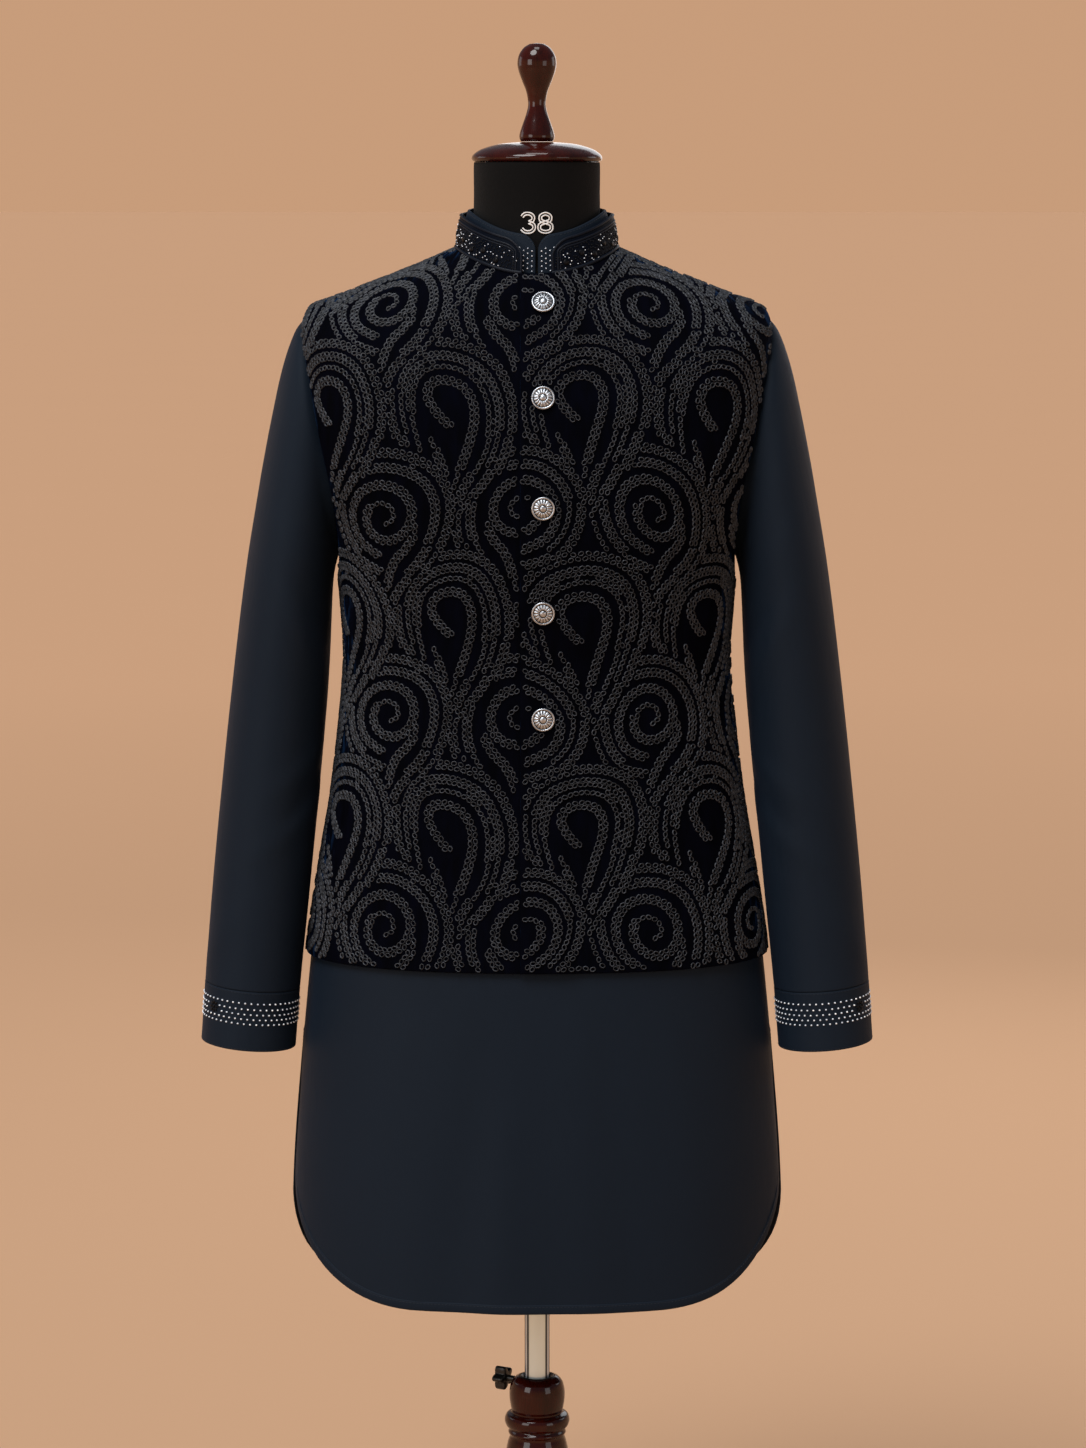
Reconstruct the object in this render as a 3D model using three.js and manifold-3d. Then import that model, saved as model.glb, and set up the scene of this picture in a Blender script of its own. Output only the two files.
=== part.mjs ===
// A kurta and a sleeveless waistcoat, worn by a limbless dress form on a turned wooden stand.
// Millimetres, +Z up. The fronts face -Y, and the wearer's left is +X.
// The origin lies on the floor under the pole's axis.
import * as THREE from "three";
import { mergeVertices } from "three/addons/utils/BufferGeometryUtils.js";
import Module from "manifold-3d";

const wasm = await Module();
wasm.setup();

// Cloth and clearances
const SEAM_GAP = 0.3;
const KURTA_CLOTH = 1.2;
const COLLAR_CLOTH = 1.8;
const WAISTCOAT_CLOTH = 2.0;
const WAISTCOAT_AIR = 3;
const SHOULDER_AIR = 0.8;
const FORM_AIR = 0.45;

// Heights of the cut
const FRONT_HEM_Z = 467;
const BACK_HEM_Z = 422;
const SLIT_TOP_Z = 720;
const SLIT_HALF_WIDTH = 5;
const HEM_CORNER = 135;
const HEM_CORNER_POWER = 2.5;
const WAISTCOAT_HEM_Z = 786;

// Armholes: lowest and highest side points, and how far each reaches to front and back
const KURTA_ARMHOLE = { bottomZ: 1165, topZ: 1390, front: 60, back: 58 };
const WAISTCOAT_ARMHOLE = { bottomZ: 1140, topZ: 1393, front: 66, back: 64 };
const ARMHOLE_STEPS = 10;

// Waistcoat front closing: the wearer's left front lies over the right one
const UPPER_EDGE_X = -15;
const UNDER_EDGE_X = 20;
const LAP_STEP = 18;
const BUTTON_X = 5.7;
const BUTTON_ZS = [1399, 1316, 1218, 1122, 1022];
const BUTTON_RADIUS = 11.5;
const BUTTON_THICKNESS = 5;

// Kurta placket, hidden by the waistcoat
const PLACKET_HALF_WIDTH = 16;
const PLACKET_CLOTH = 1.1;
const PLACKET_BOTTOM_Z = 1125;

// Collars
const KURTA_COLLAR = { height: 36, lean: 7, endX: 1.2, corner: 15, cloth: COLLAR_CLOTH };
const WAISTCOAT_COLLAR = { height: 31, lean: 4.5, endX: 13, corner: 19, cloth: WAISTCOAT_CLOTH };

// Grid densities
const HALF_COLUMNS = 7;
const NORMAL_STEP = 0.004;

// Dress form, cap, finial, pole and stand
const FORM_BOTTOM_Z = 760;
const NECK_RADIUS = 59;
const NECK_TOP_Z = 1531.5;
const POLE_RADIUS = 12.1;
const POLE_BOTTOM_Z = 145;
const FLANGE_RADIUS = 45;
const FLANGE_THICKNESS = 7;
const COLUMN_TOP_Z = 366;
const BORE_BOTTOM_Z = 92;
const COLUMN_FOOT_Z = 62;
const BUSHING_RADIUS = 17.5;
const BUSHING_DEPTH = 16;
const KNOB_Z = 359;
const KNOB_YAW = THREE.MathUtils.degToRad(150);
const KNOB_RADIUS = 12;
const KNOB_LOBE = 2.4;
const KNOB_THICKNESS = 12;
const KNOB_OUT = 33;
const SCREW_RADIUS = 3;
const ROUND_SIDES = 20;

// A table with named columns becomes a list of rows with those names.
function table(columns, rows) {
  return rows.map((row) => Object.fromEntries(columns.map((name, i) => [name, row[i]])));
}

// The kurta's outer surface as rings from the hem to the neckline. A ring runs through a side
// point, a front point and a back point; square is the power of its superellipse in plan.
const BLOCK = table(
  ["name", "sideX", "sideZ", "frontY", "frontZ", "backY", "backZ", "square"],
  [
    ["back hem", 237.5, 422, 151, 422, 148, 422, 2.2],
    ["front hem", 237, 467, 149.5, 467, 147, 467, 2.2],
    ["low skirt", 236, 530, 148, 530, 145, 530, 2.2],
    ["skirt", 232, 610, 144, 610, 142.5, 610, 2.22],
    ["slit top", 222, 720, 136, 720, 138, 720, 2.25],
    ["hip", 213, 805, 129, 805, 134, 805, 2.28],
    ["high hip", 201.6, 876, 122.5, 876, 127, 876, 2.3],
    ["belly", 189.2, 950, 117.5, 950, 115, 950, 2.3],
    ["waist", 178.2, 1055, 117, 1055, 102, 1055, 2.3],
    ["ribs", 179.8, 1115, 123.5, 1115, 106, 1115, 2.32],
    ["armpit", 185.7, 1165, 129.5, 1165, 112, 1165, 2.35],
    ["low armhole", 199, 1222, 133, 1198, 118, 1208, 2.38],
    ["mid armhole", 213, 1285, 134, 1232, 121, 1255, 2.4],
    ["high armhole", 217, 1345, 132, 1268, 120, 1300, 2.4],
    ["shoulder tip", 213, 1390, 126.5, 1308, 115, 1345, 2.35],
    ["shoulder", 166, 1412.5, 115, 1350, 104, 1388, 2.25],
    ["yoke", 116, 1432, 97, 1390, 88, 1428, 2.15],
    ["neckline", 71.5, 1451, 71, 1428, 69.5, 1458, 2.05],
  ],
);
const RING_OF = Object.fromEntries(BLOCK.map((row, i) => [row.name, i]));
const NECKLINE = BLOCK.length - 1;
const WAISTCOAT_NECK = NECKLINE - 0.12;
const TIP = RING_OF["shoulder tip"];
const RIDGE_POWER = 1.9;

// Rings above the armholes, shared by the form, the kurta and the waistcoat
const WAISTCOAT_TIP = TIP + 0.1;
const YOKE_RINGS = [TIP + 0.5, TIP + 1, TIP + 1.5, TIP + 2, TIP + 2.5];

// Inward ease from the kurta's outer surface to the form, by ring
const FORM_EASE = table(
  ["ring", "ease"],
  [
    ["slit top", 34],
    ["hip", 30],
    ["high hip", 24],
    ["belly", 18],
    ["waist", 14],
    ["ribs", 8],
    ["armpit", 5],
    ["mid armhole", 4],
    ["shoulder tip", KURTA_CLOTH + FORM_AIR],
    ["yoke", KURTA_CLOTH + FORM_AIR],
    ["neckline", KURTA_CLOTH + 2],
  ],
);
const FORM_SIDE_EASE = 9;

// The sleeve's outer surface: where each section's outer and inner sides lie, its half depth to
// front and back, and how far its middle lies towards the front
const SLEEVE = table(
  ["outerX", "outerZ", "innerX", "innerZ", "depth", "forward"],
  [
    [226.5, 1375, 187.6, 1163, 65, 0],
    [238.5, 1342, 188.6, 1160, 69, 0],
    [248.6, 1298, 189.6, 1156, 72, 0],
    [257.6, 1253, 190.8, 1151, 73.5, 0],
    [264.6, 1213, 192, 1144, 74, 1],
    [272.2, 1168, 193.2, 1130, 73, 2],
    [278.2, 1126, 194.4, 1104, 71.5, 3],
    [283.8, 1082, 196, 1068, 69, 4],
    [288.8, 1040, 198.6, 1029, 66, 5],
    [293.9, 995, 202.6, 985, 63, 7],
    [299.1, 945, 207, 936, 59.5, 10],
    [304.2, 895, 212, 887, 56.5, 13],
    [308.8, 845, 217, 837, 54, 16],
    [313.4, 790, 222.8, 782, 51, 20],
    [315.6, 761.5, 225.6, 753.5, 50, 22],
  ],
);
const CUFF = table(
  ["outerX", "outerZ", "innerX", "innerZ", "depth", "forward"],
  [
    [315.7, 761.2, 225.6, 753.2, 50, 22],
    [317.1, 742, 227.1, 734, 49.4, 23],
    [318.3, 724, 228.5, 716, 48.8, 24.5],
    [319.6, 705, 230, 697, 48.2, 26],
  ],
);
const CUFF_CLOTH = 1.8;

// Turned profiles, from the top down: radius and height
const FINIAL_PROFILE = table(
  ["radius", "z"],
  [
    [7, 1640.6],
    [12.5, 1637],
    [16.8, 1630.5],
    [18.2, 1623],
    [17, 1615.5],
    [13.6, 1606],
    [10.2, 1597.5],
    [8.5, 1589],
    [8.4, 1583],
    [10.4, 1575],
    [13.4, 1566.5],
    [16, 1558.5],
    [16.4, 1554],
    [14.8, 1550.6],
  ],
);
const FINIAL_TOP_Z = 1641.5;
const CAP_PROFILE = table(
  ["radius", "z"],
  [
    [17, 1550],
    [36, 1548.2],
    [51, 1544],
    [58.5, 1539.5],
    [61, 1535.8],
    [60, 1533],
    [57.5, 1531.8],
  ],
);
const COLUMN_PROFILE = table(
  ["radius", "z"],
  [
    [20.5, 365.2],
    [24.4, 361],
    [26.6, 353],
    [26.8, 345],
    [25.6, 336],
    [24.4, 330.5],
    [29.4, 328.6],
    [31.5, 323],
    [29.6, 317],
    [26, 315],
    [28, 311],
    [26.4, 307.5],
    [28.6, 300],
    [32, 282],
    [34, 262],
    [32.6, 240],
    [27.6, 216],
    [22.4, 192],
    [20, 172],
    [22.6, 166],
    [26.8, 160],
    [22.6, 154],
    [20.6, 149],
    [23.4, 132],
    [31, 110],
    [39, 96],
    [42.4, 86],
    [40, 78],
    [46, 74],
    [50, 68],
    [48, COLUMN_FOOT_Z],
  ],
);
const BASE_PROFILE = table(
  ["radius", "z"],
  [
    [62, 61.7],
    [70, 57],
    [84, 48],
    [112, 38.5],
    [150, 33],
    [172, 31],
    [180, 27],
    [186, 25],
    [191, 19],
    [192, 10],
    [190, 0],
  ],
);

const smooth = (low, high, x) => THREE.MathUtils.smoothstep(x, low, high);
const mix = THREE.MathUtils.lerp;

// A column of a table read at a place between its rows, on a smooth curve through them.
function between(rows, column, place) {
  const last = rows.length - 1;
  const at = Math.min(Math.max(place, 0), last);
  const i = Math.min(Math.floor(at), last - 1);
  const f = at - i;
  const read = (k) => rows[Math.min(Math.max(k, 0), last)][column];
  const [a, b, c, d] = [read(i - 1), read(i), read(i + 1), read(i + 2)];
  const rise = (c - a) / 2;
  const fall = (d - b) / 2;
  const f2 = f * f;
  const f3 = f2 * f;
  return (2 * f3 - 3 * f2 + 1) * b + (f3 - 2 * f2 + f) * rise + (3 * f2 - 2 * f3) * c + (f3 - f2) * fall;
}

// The place where a rising function reaches a value.
function solve(read, value, low, high) {
  let [a, b] = [low, high];
  for (let k = 0; k < 50; k += 1) {
    const middle = (a + b) / 2;
    if (read(middle) < value) a = middle;
    else b = middle;
  }
  return (a + b) / 2;
}

const ringAtSideZ = (z, high = TIP + 0.5) => solve((ring) => between(BLOCK, "sideZ", ring), z, 0, high);

// A point of the kurta's outer surface. The angle is 0 at +X, -90 degrees at the front.
function blockPoint(angle, ring) {
  const power = between(BLOCK, "square", ring);
  const side = between(BLOCK, "sideX", ring);
  const end = Math.sin(angle) < 0 ? "front" : "back";
  const depth = between(BLOCK, `${end}Y`, ring);
  const radius =
    (Math.abs(Math.cos(angle) / side) ** power + Math.abs(Math.sin(angle) / depth) ** power) ** (-1 / power);
  const x = radius * Math.cos(angle);
  const y = radius * Math.sin(angle);
  const sideZ = between(BLOCK, "sideZ", ring);
  const fall = (between(BLOCK, `${end}Z`, ring) - sideZ) * (Math.abs(y) / depth) ** RIDGE_POWER;
  return new THREE.Vector3(x, y, sideZ + fall);
}

function blockNormal(angle, ring) {
  const low = Math.max(ring - NORMAL_STEP, 0);
  const high = Math.min(ring + NORMAL_STEP, NECKLINE);
  const along = blockPoint(angle + NORMAL_STEP, ring).sub(blockPoint(angle - NORMAL_STEP, ring));
  const up = blockPoint(angle, high).sub(blockPoint(angle, low));
  return along.cross(up).normalize();
}

const offBlock = (angle, ring, distance) =>
  blockPoint(angle, ring).addScaledVector(blockNormal(angle, ring), distance);

// The angle where a ring's front half has this x, and where a half has this distance in y.
const frontAngleAtX = (x, ring) => solve((angle) => blockPoint(angle, ring).x, x, -Math.PI + 1e-6, -1e-6);
function sideAngleAtY(y, ring) {
  const angle = solve((a) => blockPoint(a, ring).y * Math.sign(y), Math.abs(y), 0, (Math.PI / 2) * Math.sign(y));
  return angle;
}

// Angles that split a stretch of a ring evenly, more closely where the ring bends.
const ARC_SAMPLES = 120;
const BEND_LENGTH = 120;
function anglesAlong(from, to, ring, fractions) {
  const points = [];
  for (let k = 0; k <= ARC_SAMPLES; k += 1) points.push(blockPoint(mix(from, to, k / ARC_SAMPLES), ring));
  const legs = points.slice(1).map((p, k) => p.clone().sub(points[k]));
  const lengths = [0];
  for (let k = 1; k <= ARC_SAMPLES; k += 1) {
    const bend = legs[k - 1].angleTo(legs[Math.max(k - 2, 0)]);
    lengths.push(lengths[k - 1] + legs[k - 1].length() + BEND_LENGTH * bend);
  }
  return fractions.map((fraction) => {
    const wanted = fraction * lengths[ARC_SAMPLES];
    let k = 1;
    while (k < ARC_SAMPLES && lengths[k] < wanted) k += 1;
    const inside = (wanted - lengths[k - 1]) / (lengths[k] - lengths[k - 1]);
    return mix(from, to, (k - 1 + inside) / ARC_SAMPLES);
  });
}

const steps = (count) => Array.from({ length: count + 1 }, (_, i) => i / count);

// Geometry from two matching grids of points: the two faces of a wall and its edges.
function wall(outer, inner, { around = false } = {}) {
  const rows = outer.length;
  const columns = outer[0].length;
  const positions = [...outer.flat(), ...inner.flat()].flatMap((p) => [p.x, p.y, p.z]);
  const out = (r, c) => r * columns + (c % columns);
  const back = (r, c) => rows * columns + out(r, c);
  const index = [];
  const quad = (a, b, c, d) => index.push(a, b, c, a, c, d);
  const spans = around ? columns : columns - 1;
  for (let r = 0; r < rows - 1; r += 1) {
    for (let c = 0; c < spans; c += 1) {
      quad(out(r, c), out(r, c + 1), out(r + 1, c + 1), out(r + 1, c));
      quad(back(r, c), back(r + 1, c), back(r + 1, c + 1), back(r, c + 1));
    }
  }
  for (let c = 0; c < spans; c += 1) {
    quad(out(0, c), back(0, c), back(0, c + 1), out(0, c + 1));
    quad(out(rows - 1, c), out(rows - 1, c + 1), back(rows - 1, c + 1), back(rows - 1, c));
  }
  if (!around) {
    for (let r = 0; r < rows - 1; r += 1) {
      quad(out(r, 0), out(r + 1, 0), back(r + 1, 0), back(r, 0));
      quad(out(r, columns - 1), back(r, columns - 1), back(r + 1, columns - 1), out(r + 1, columns - 1));
    }
  }
  const geometry = new THREE.BufferGeometry();
  geometry.setAttribute("position", new THREE.Float32BufferAttribute(positions, 3));
  geometry.setIndex(index);
  geometry.computeVertexNormals();
  return geometry;
}

// Geometry from a stack of closed rings, with flat ends.
function stack(rings) {
  const columns = rings[0].length;
  const ends = [rings[0], rings[rings.length - 1]].map((ring) =>
    ring.reduce((sum, p) => sum.add(p), new THREE.Vector3()).divideScalar(columns),
  );
  const positions = [...rings.flat(), ...ends].flatMap((p) => [p.x, p.y, p.z]);
  const at = (r, c) => r * columns + (c % columns);
  const [bottom, top] = [rings.length * columns, rings.length * columns + 1];
  const index = [];
  for (let c = 0; c < columns; c += 1) {
    for (let r = 0; r < rings.length - 1; r += 1) {
      index.push(at(r, c), at(r, c + 1), at(r + 1, c + 1), at(r, c), at(r + 1, c + 1), at(r + 1, c));
    }
    index.push(bottom, at(0, c + 1), at(0, c), top, at(rings.length - 1, c), at(rings.length - 1, c + 1));
  }
  const geometry = new THREE.BufferGeometry();
  geometry.setAttribute("position", new THREE.Float32BufferAttribute(positions, 3));
  geometry.setIndex(index);
  geometry.computeVertexNormals();
  return geometry;
}

// Rings up an armhole, and how deep it is cut at each
function armholeRings(armhole, high) {
  const middle = (armhole.bottomZ + armhole.topZ) / 2;
  const half = (armhole.topZ - armhole.bottomZ) / 2;
  return steps(ARMHOLE_STEPS)
    .slice(1, -1)
    .map((f) => ({ ring: ringAtSideZ(middle - half * Math.cos(Math.PI * f), high), cut: Math.sin(Math.PI * f) }));
}

// The list of rings of a garment: straight rows below the armhole, the armhole, then the yoke.
function garmentRings(straightZs, armhole, topRing) {
  const tipRing = ringAtSideZ(armhole.topZ);
  const rings = straightZs.map((z) => ({ ring: ringAtSideZ(z), cut: 0, z }));
  rings.push({ ring: ringAtSideZ(armhole.bottomZ), cut: 0, z: armhole.bottomZ });
  rings.push(...armholeRings(armhole, tipRing));
  rings.push({ ring: tipRing, cut: 0 });
  rings.push(...YOKE_RINGS.map((ring) => ({ ring, cut: 0 })));
  rings.push({ ring: topRing, cut: 0 });
  return rings;
}

// How far a panel's side edge lies from the side line, in y, at a ring.
function sideEdgeY(row, depth) {
  if (row.cut > 0) return Math.max(depth * row.cut, SEAM_GAP / 2);
  if (row.z === undefined || row.z >= SLIT_TOP_Z) return SEAM_GAP / 2;
  return mix(SEAM_GAP / 2, SLIT_HALF_WIDTH, smooth(0, 110, SLIT_TOP_Z - row.z));
}

// The x of a rounded hem corner at a height.
function hemCornerX(z, hemZ, sideX) {
  const share = Math.min(Math.max((HEM_CORNER - (z - hemZ)) / HEM_CORNER, 0), 1);
  return sideX - HEM_CORNER * (1 - (1 - share ** HEM_CORNER_POWER) ** (1 / HEM_CORNER_POWER));
}

// Side angle of a kurta panel at a row: its side edge, or its hem corner where that is further in.
function kurtaSideAngle(row, sign, hemZ, depth) {
  const edge = Math.abs(sideAngleAtY(sign * sideEdgeY(row, depth), row.ring));
  if (row.z === undefined || row.z > hemZ + HEM_CORNER) return edge;
  const x = hemCornerX(row.z, hemZ, between(BLOCK, "sideX", row.ring));
  const corner = Math.abs(solve((a) => -blockPoint(sign * a, row.ring).x, -x, 0, Math.PI / 2));
  return Math.max(edge, corner);
}

// Kurta rows below the armhole, closer together round the hem corner
const HEM_CORNER_STEPS = [0, 2.5, 8, 17, 31, 52, 82, 128];
const KURTA_STRAIGHT_ZS = [660, SLIT_TOP_Z, 800, 890, 970, 1050, PLACKET_BOTTOM_Z];
const WAISTCOAT_STRAIGHT_ZS = [WAISTCOAT_HEM_Z, 850, 920, 990, 1060, 1105];

const kurtaRows = (hemZ) =>
  garmentRings([...HEM_CORNER_STEPS.map((d) => hemZ + d), ...KURTA_STRAIGHT_ZS], KURTA_ARMHOLE, NECKLINE);

// Kurta front or back: sign -1 is the front, +1 the back.
const FRONT_TUCK = 2.5;
const FRONT_TUCK_REACH = 45;
function kurtaPanel(sign, hemZ, depth) {
  const outer = [];
  const inner = [];
  for (const row of kurtaRows(hemZ)) {
    const side = kurtaSideAngle(row, sign, hemZ, depth);
    const middle = (sign * Math.PI) / 2;
    const near = anglesAlong(sign < 0 ? -Math.PI + side : side, middle, row.ring, steps(HALF_COLUMNS));
    const far = anglesAlong(middle, sign < 0 ? -side : Math.PI - side, row.ring, steps(HALF_COLUMNS)).slice(1);
    const openness = row.z === undefined ? 0 : smooth(0, 90, SLIT_TOP_Z - row.z);
    const tuck = (angle) => {
      if (sign > 0 || openness === 0) return 0;
      const point = blockPoint(angle, row.ring);
      return -FRONT_TUCK * openness * (1 - smooth(0, FRONT_TUCK_REACH, Math.abs(point.y)));
    };
    const angles = [...near, ...far];
    outer.push(angles.map((angle) => offBlock(angle, row.ring, tuck(angle))));
    inner.push(angles.map((angle) => offBlock(angle, row.ring, tuck(angle) - KURTA_CLOTH)));
  }
  return wall(outer, inner);
}

// Air between the kurta and the waistcoat: least along the shoulders, where it hangs.
function waistcoatAir(angle, ring) {
  const shoulder = smooth(TIP + 0.1, TIP + 0.5, ring) * Math.cos(angle) ** 2;
  return mix(WAISTCOAT_AIR, SHOULDER_AIR, shoulder);
}

const waistcoatRows = () => garmentRings(WAISTCOAT_STRAIGHT_ZS, WAISTCOAT_ARMHOLE, WAISTCOAT_NECK);

const waistcoatSideAngle = (row, sign, depth) =>
  Math.abs(sideAngleAtY(sign * (row.cut > 0 ? depth * row.cut : SEAM_GAP / 2), row.ring));

// A waistcoat front: hand +1 is the wearer's left. It runs from its lap edge to the side seam.
function waistcoatFront(hand, edgeX, raise) {
  const outer = [];
  const inner = [];
  for (const row of waistcoatRows()) {
    const side = -waistcoatSideAngle(row, -1, WAISTCOAT_ARMHOLE.front);
    const spread = anglesAlong(-Math.PI / 2, side, row.ring, steps(HALF_COLUMNS + 1)).slice(2);
    const lap = [0, 1, 2].map((k) => frontAngleAtX(hand * (edgeX + k * LAP_STEP), row.ring));
    const mirrored = lap.map((angle) => (hand > 0 ? angle : -Math.PI - angle));
    const angles = [...mirrored, (mirrored[2] + spread[0]) / 2, ...spread];
    const place = (angle, i, distance) => {
      const lift = waistcoatAir(angle, row.ring) + (i < lap.length ? raise : 0);
      const point = offBlock(angle, row.ring, lift + distance);
      point.x *= hand;
      return point;
    };
    outer.push(angles.map((angle, i) => place(angle, i, WAISTCOAT_CLOTH)));
    inner.push(angles.map((angle, i) => place(angle, i, 0)));
  }
  if (hand < 0) {
    outer.forEach((row) => row.reverse());
    inner.forEach((row) => row.reverse());
  }
  return wall(outer, inner);
}

function waistcoatBack() {
  const outer = [];
  const inner = [];
  for (const row of waistcoatRows()) {
    const side = waistcoatSideAngle(row, 1, WAISTCOAT_ARMHOLE.back);
    const near = anglesAlong(side, Math.PI / 2, row.ring, steps(HALF_COLUMNS));
    const far = anglesAlong(Math.PI / 2, Math.PI - side, row.ring, steps(HALF_COLUMNS)).slice(1);
    const place = (angle, distance) => offBlock(angle, row.ring, waistcoatAir(angle, row.ring) + distance);
    outer.push([...near, ...far].map((angle) => place(angle, WAISTCOAT_CLOTH)));
    inner.push([...near, ...far].map((angle) => place(angle, 0)));
  }
  return wall(outer, inner);
}

// Placket strip on the kurta's front, on the same rows as the front.
function placket() {
  const rows = kurtaRows(FRONT_HEM_Z).filter((row) => row.z === undefined || row.z >= PLACKET_BOTTOM_Z);
  const grid = (distance) =>
    rows.map((row) =>
      [-1, 0, 1].map((k) => offBlock(frontAngleAtX(k * PLACKET_HALF_WIDTH, row.ring), row.ring, distance)),
    );
  return wall(grid(SEAM_GAP + PLACKET_CLOTH), grid(SEAM_GAP));
}

// A standing collar on a ring: open at the front, its upper corners rounded.
const COLLAR_SPANS = 20;
const COLLAR_ROWS = 3;
const COLLAR_END_STEPS = [0, 2, 5.5, 11];
const COLLAR_SEAM = SEAM_GAP + 0.45;
function collar(spec, ring, seat) {
  const start = frontAngleAtX(spec.endX, ring);
  const end = 3 * Math.PI + 2 * start < 0 ? start : -Math.PI - start + 2 * Math.PI;
  const dense = anglesAlong(start, end, ring, steps(400));
  const points = dense.map((angle) => blockPoint(angle, ring));
  const lengths = [0];
  points.slice(1).forEach((p, k) => lengths.push(lengths[k] + p.distanceTo(points[k])));
  const total = lengths[lengths.length - 1];
  const corner = spec.corner;
  const places = [
    ...COLLAR_END_STEPS,
    ...steps(COLLAR_SPANS).map((f) => mix(corner, total - corner, f)),
    ...COLLAR_END_STEPS.map((d) => total - d).reverse(),
  ];
  const grid = (depth) =>
    steps(COLLAR_ROWS).map((share) =>
      places.map((place) => {
        const angle = dense[Math.round((place / total) * 400)];
        const fromEnd = Math.min(place, total - place);
        const t = Math.max(corner - fromEnd, 0) / corner;
        const height = spec.height - corner * (1 - Math.sqrt(Math.max(1 - t * t, 0)));
        const rise = share * height;
        const foot = offBlock(angle, ring, seat(angle, ring));
        const outward = new THREE.Vector3(foot.x, foot.y, 0).normalize();
        const lean = spec.lean * (rise / spec.height);
        return foot.addScaledVector(outward, -depth - lean).setZ(foot.z + COLLAR_SEAM + rise);
      }),
    );
  return wall(grid(0), grid(spec.cloth));
}

// Points of the kurta's armhole edge, from the armpit up the front, over the tip and down the back
function armholeLoop() {
  const rows = armholeRings(KURTA_ARMHOLE, ringAtSideZ(KURTA_ARMHOLE.topZ));
  const edge = (sign, depth) =>
    rows.map((row) => blockPoint(sideAngleAtY(sign * depth * row.cut, row.ring), row.ring));
  const armpit = blockPoint(0, ringAtSideZ(KURTA_ARMHOLE.bottomZ));
  const tip = blockPoint(0, ringAtSideZ(KURTA_ARMHOLE.topZ));
  return [armpit, ...edge(-1, KURTA_ARMHOLE.front), tip, ...edge(1, KURTA_ARMHOLE.back).reverse()];
}

// An oval section of the sleeve, starting at its inner side and going round by the front.
function sleeveSection(row, count) {
  const inner = new THREE.Vector3(row.innerX, -row.forward, row.innerZ);
  const outer = new THREE.Vector3(row.outerX, -row.forward, row.outerZ);
  const middle = inner.clone().add(outer).divideScalar(2);
  const across = outer.clone().sub(inner).divideScalar(2);
  return steps(count)
    .slice(0, -1)
    .map((f) => {
      const turn = 2 * Math.PI * f;
      return middle
        .clone()
        .addScaledVector(across, -Math.cos(turn))
        .add(new THREE.Vector3(0, -row.depth * Math.sin(turn), 0));
    });
}

// A tube wall from sections: each point's inner face lies towards the middle of its section.
function tube(sections, cloth) {
  const inner = sections.map((section) => {
    const middle = section.reduce((sum, p) => sum.add(p), new THREE.Vector3()).divideScalar(section.length);
    return section.map((p) => p.clone().addScaledVector(middle.clone().sub(p).normalize(), cloth));
  });
  return wall(sections, inner, { around: true });
}

const mirrorX = (sections) =>
  sections.map((section) => section.map((p) => new THREE.Vector3(-p.x, p.y, p.z)).reverse());

// A sleeve from the armhole to its cuff seam, or the cuff; hand +1 is the wearer's left.
const LOOP_SHIFT = new THREE.Vector3(SEAM_GAP, 0, 0);
function sleeveSections() {
  const loop = armholeLoop().map((p) => p.add(LOOP_SHIFT));
  return [loop, ...SLEEVE.map((row) => sleeveSection(row, loop.length))].map((section) => section.reverse());
}
const cuffSections = () => CUFF.map((row) => sleeveSection(row, 2 * ARMHOLE_STEPS).reverse());

// The neck of the dress form: radius, and how far up each ring lies from the neckline to the top
const NECK_RINGS = table(
  ["radius", "rise"],
  [
    [64, 0.13],
    [60, 0.32],
    [NECK_RADIUS, 0.6],
    [NECK_RADIUS, 0.97],
    [NECK_RADIUS - 2, 1],
  ],
);
function formEase(angle, ring) {
  const places = FORM_EASE.map((row) => RING_OF[row.ring]);
  let i = 0;
  while (i < places.length - 2 && places[i + 1] < ring) i += 1;
  const share = Math.min(Math.max((ring - places[i]) / (places[i + 1] - places[i]), 0), 1);
  const ease = mix(FORM_EASE[i].ease, FORM_EASE[i + 1].ease, share);
  const atArmhole = smooth(RING_OF.armpit - 1, RING_OF["mid armhole"], ring) * (1 - smooth(TIP - 0.4, TIP + 0.6, ring));
  return ease + FORM_SIDE_EASE * atArmhole * Math.cos(angle) ** 6;
}
const FORM_STRAIGHT_ZS = [FORM_BOTTOM_Z, 815, 880, 950, 1010, 1070, 1125];
const FORM_ARMHOLE_ZS = [KURTA_ARMHOLE.bottomZ, 1200, 1240, 1275, 1308, 1338, 1363];
function formTorso() {
  const straight = FORM_STRAIGHT_ZS.map((z) => ringAtSideZ(z));
  const armhole = FORM_ARMHOLE_ZS.map((z) => ringAtSideZ(z));
  const rings = [...straight, ...armhole, ringAtSideZ(KURTA_ARMHOLE.topZ), ...YOKE_RINGS, NECKLINE];
  const quarters = [-Math.PI, -Math.PI / 2, 0, Math.PI / 2, Math.PI];
  const sections = rings.map((ring) =>
    quarters.slice(0, -1).flatMap((from, k) =>
      anglesAlong(from, quarters[k + 1], ring, steps(HALF_COLUMNS))
        .slice(0, -1)
        .map((angle) => offBlock(angle, ring, -formEase(angle, ring))),
    ),
  );
  sections[0].forEach((p) => p.setZ(FORM_BOTTOM_Z));
  const neck = sections[sections.length - 1];
  NECK_RINGS.forEach((row) => {
    const raised = (p) => mix(p.z, NECK_TOP_Z, row.rise);
    sections.push(neck.map((p) => p.clone().setZ(0).setLength(row.radius).setZ(raised(p))));
  });
  return stack(sections);
}

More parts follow.
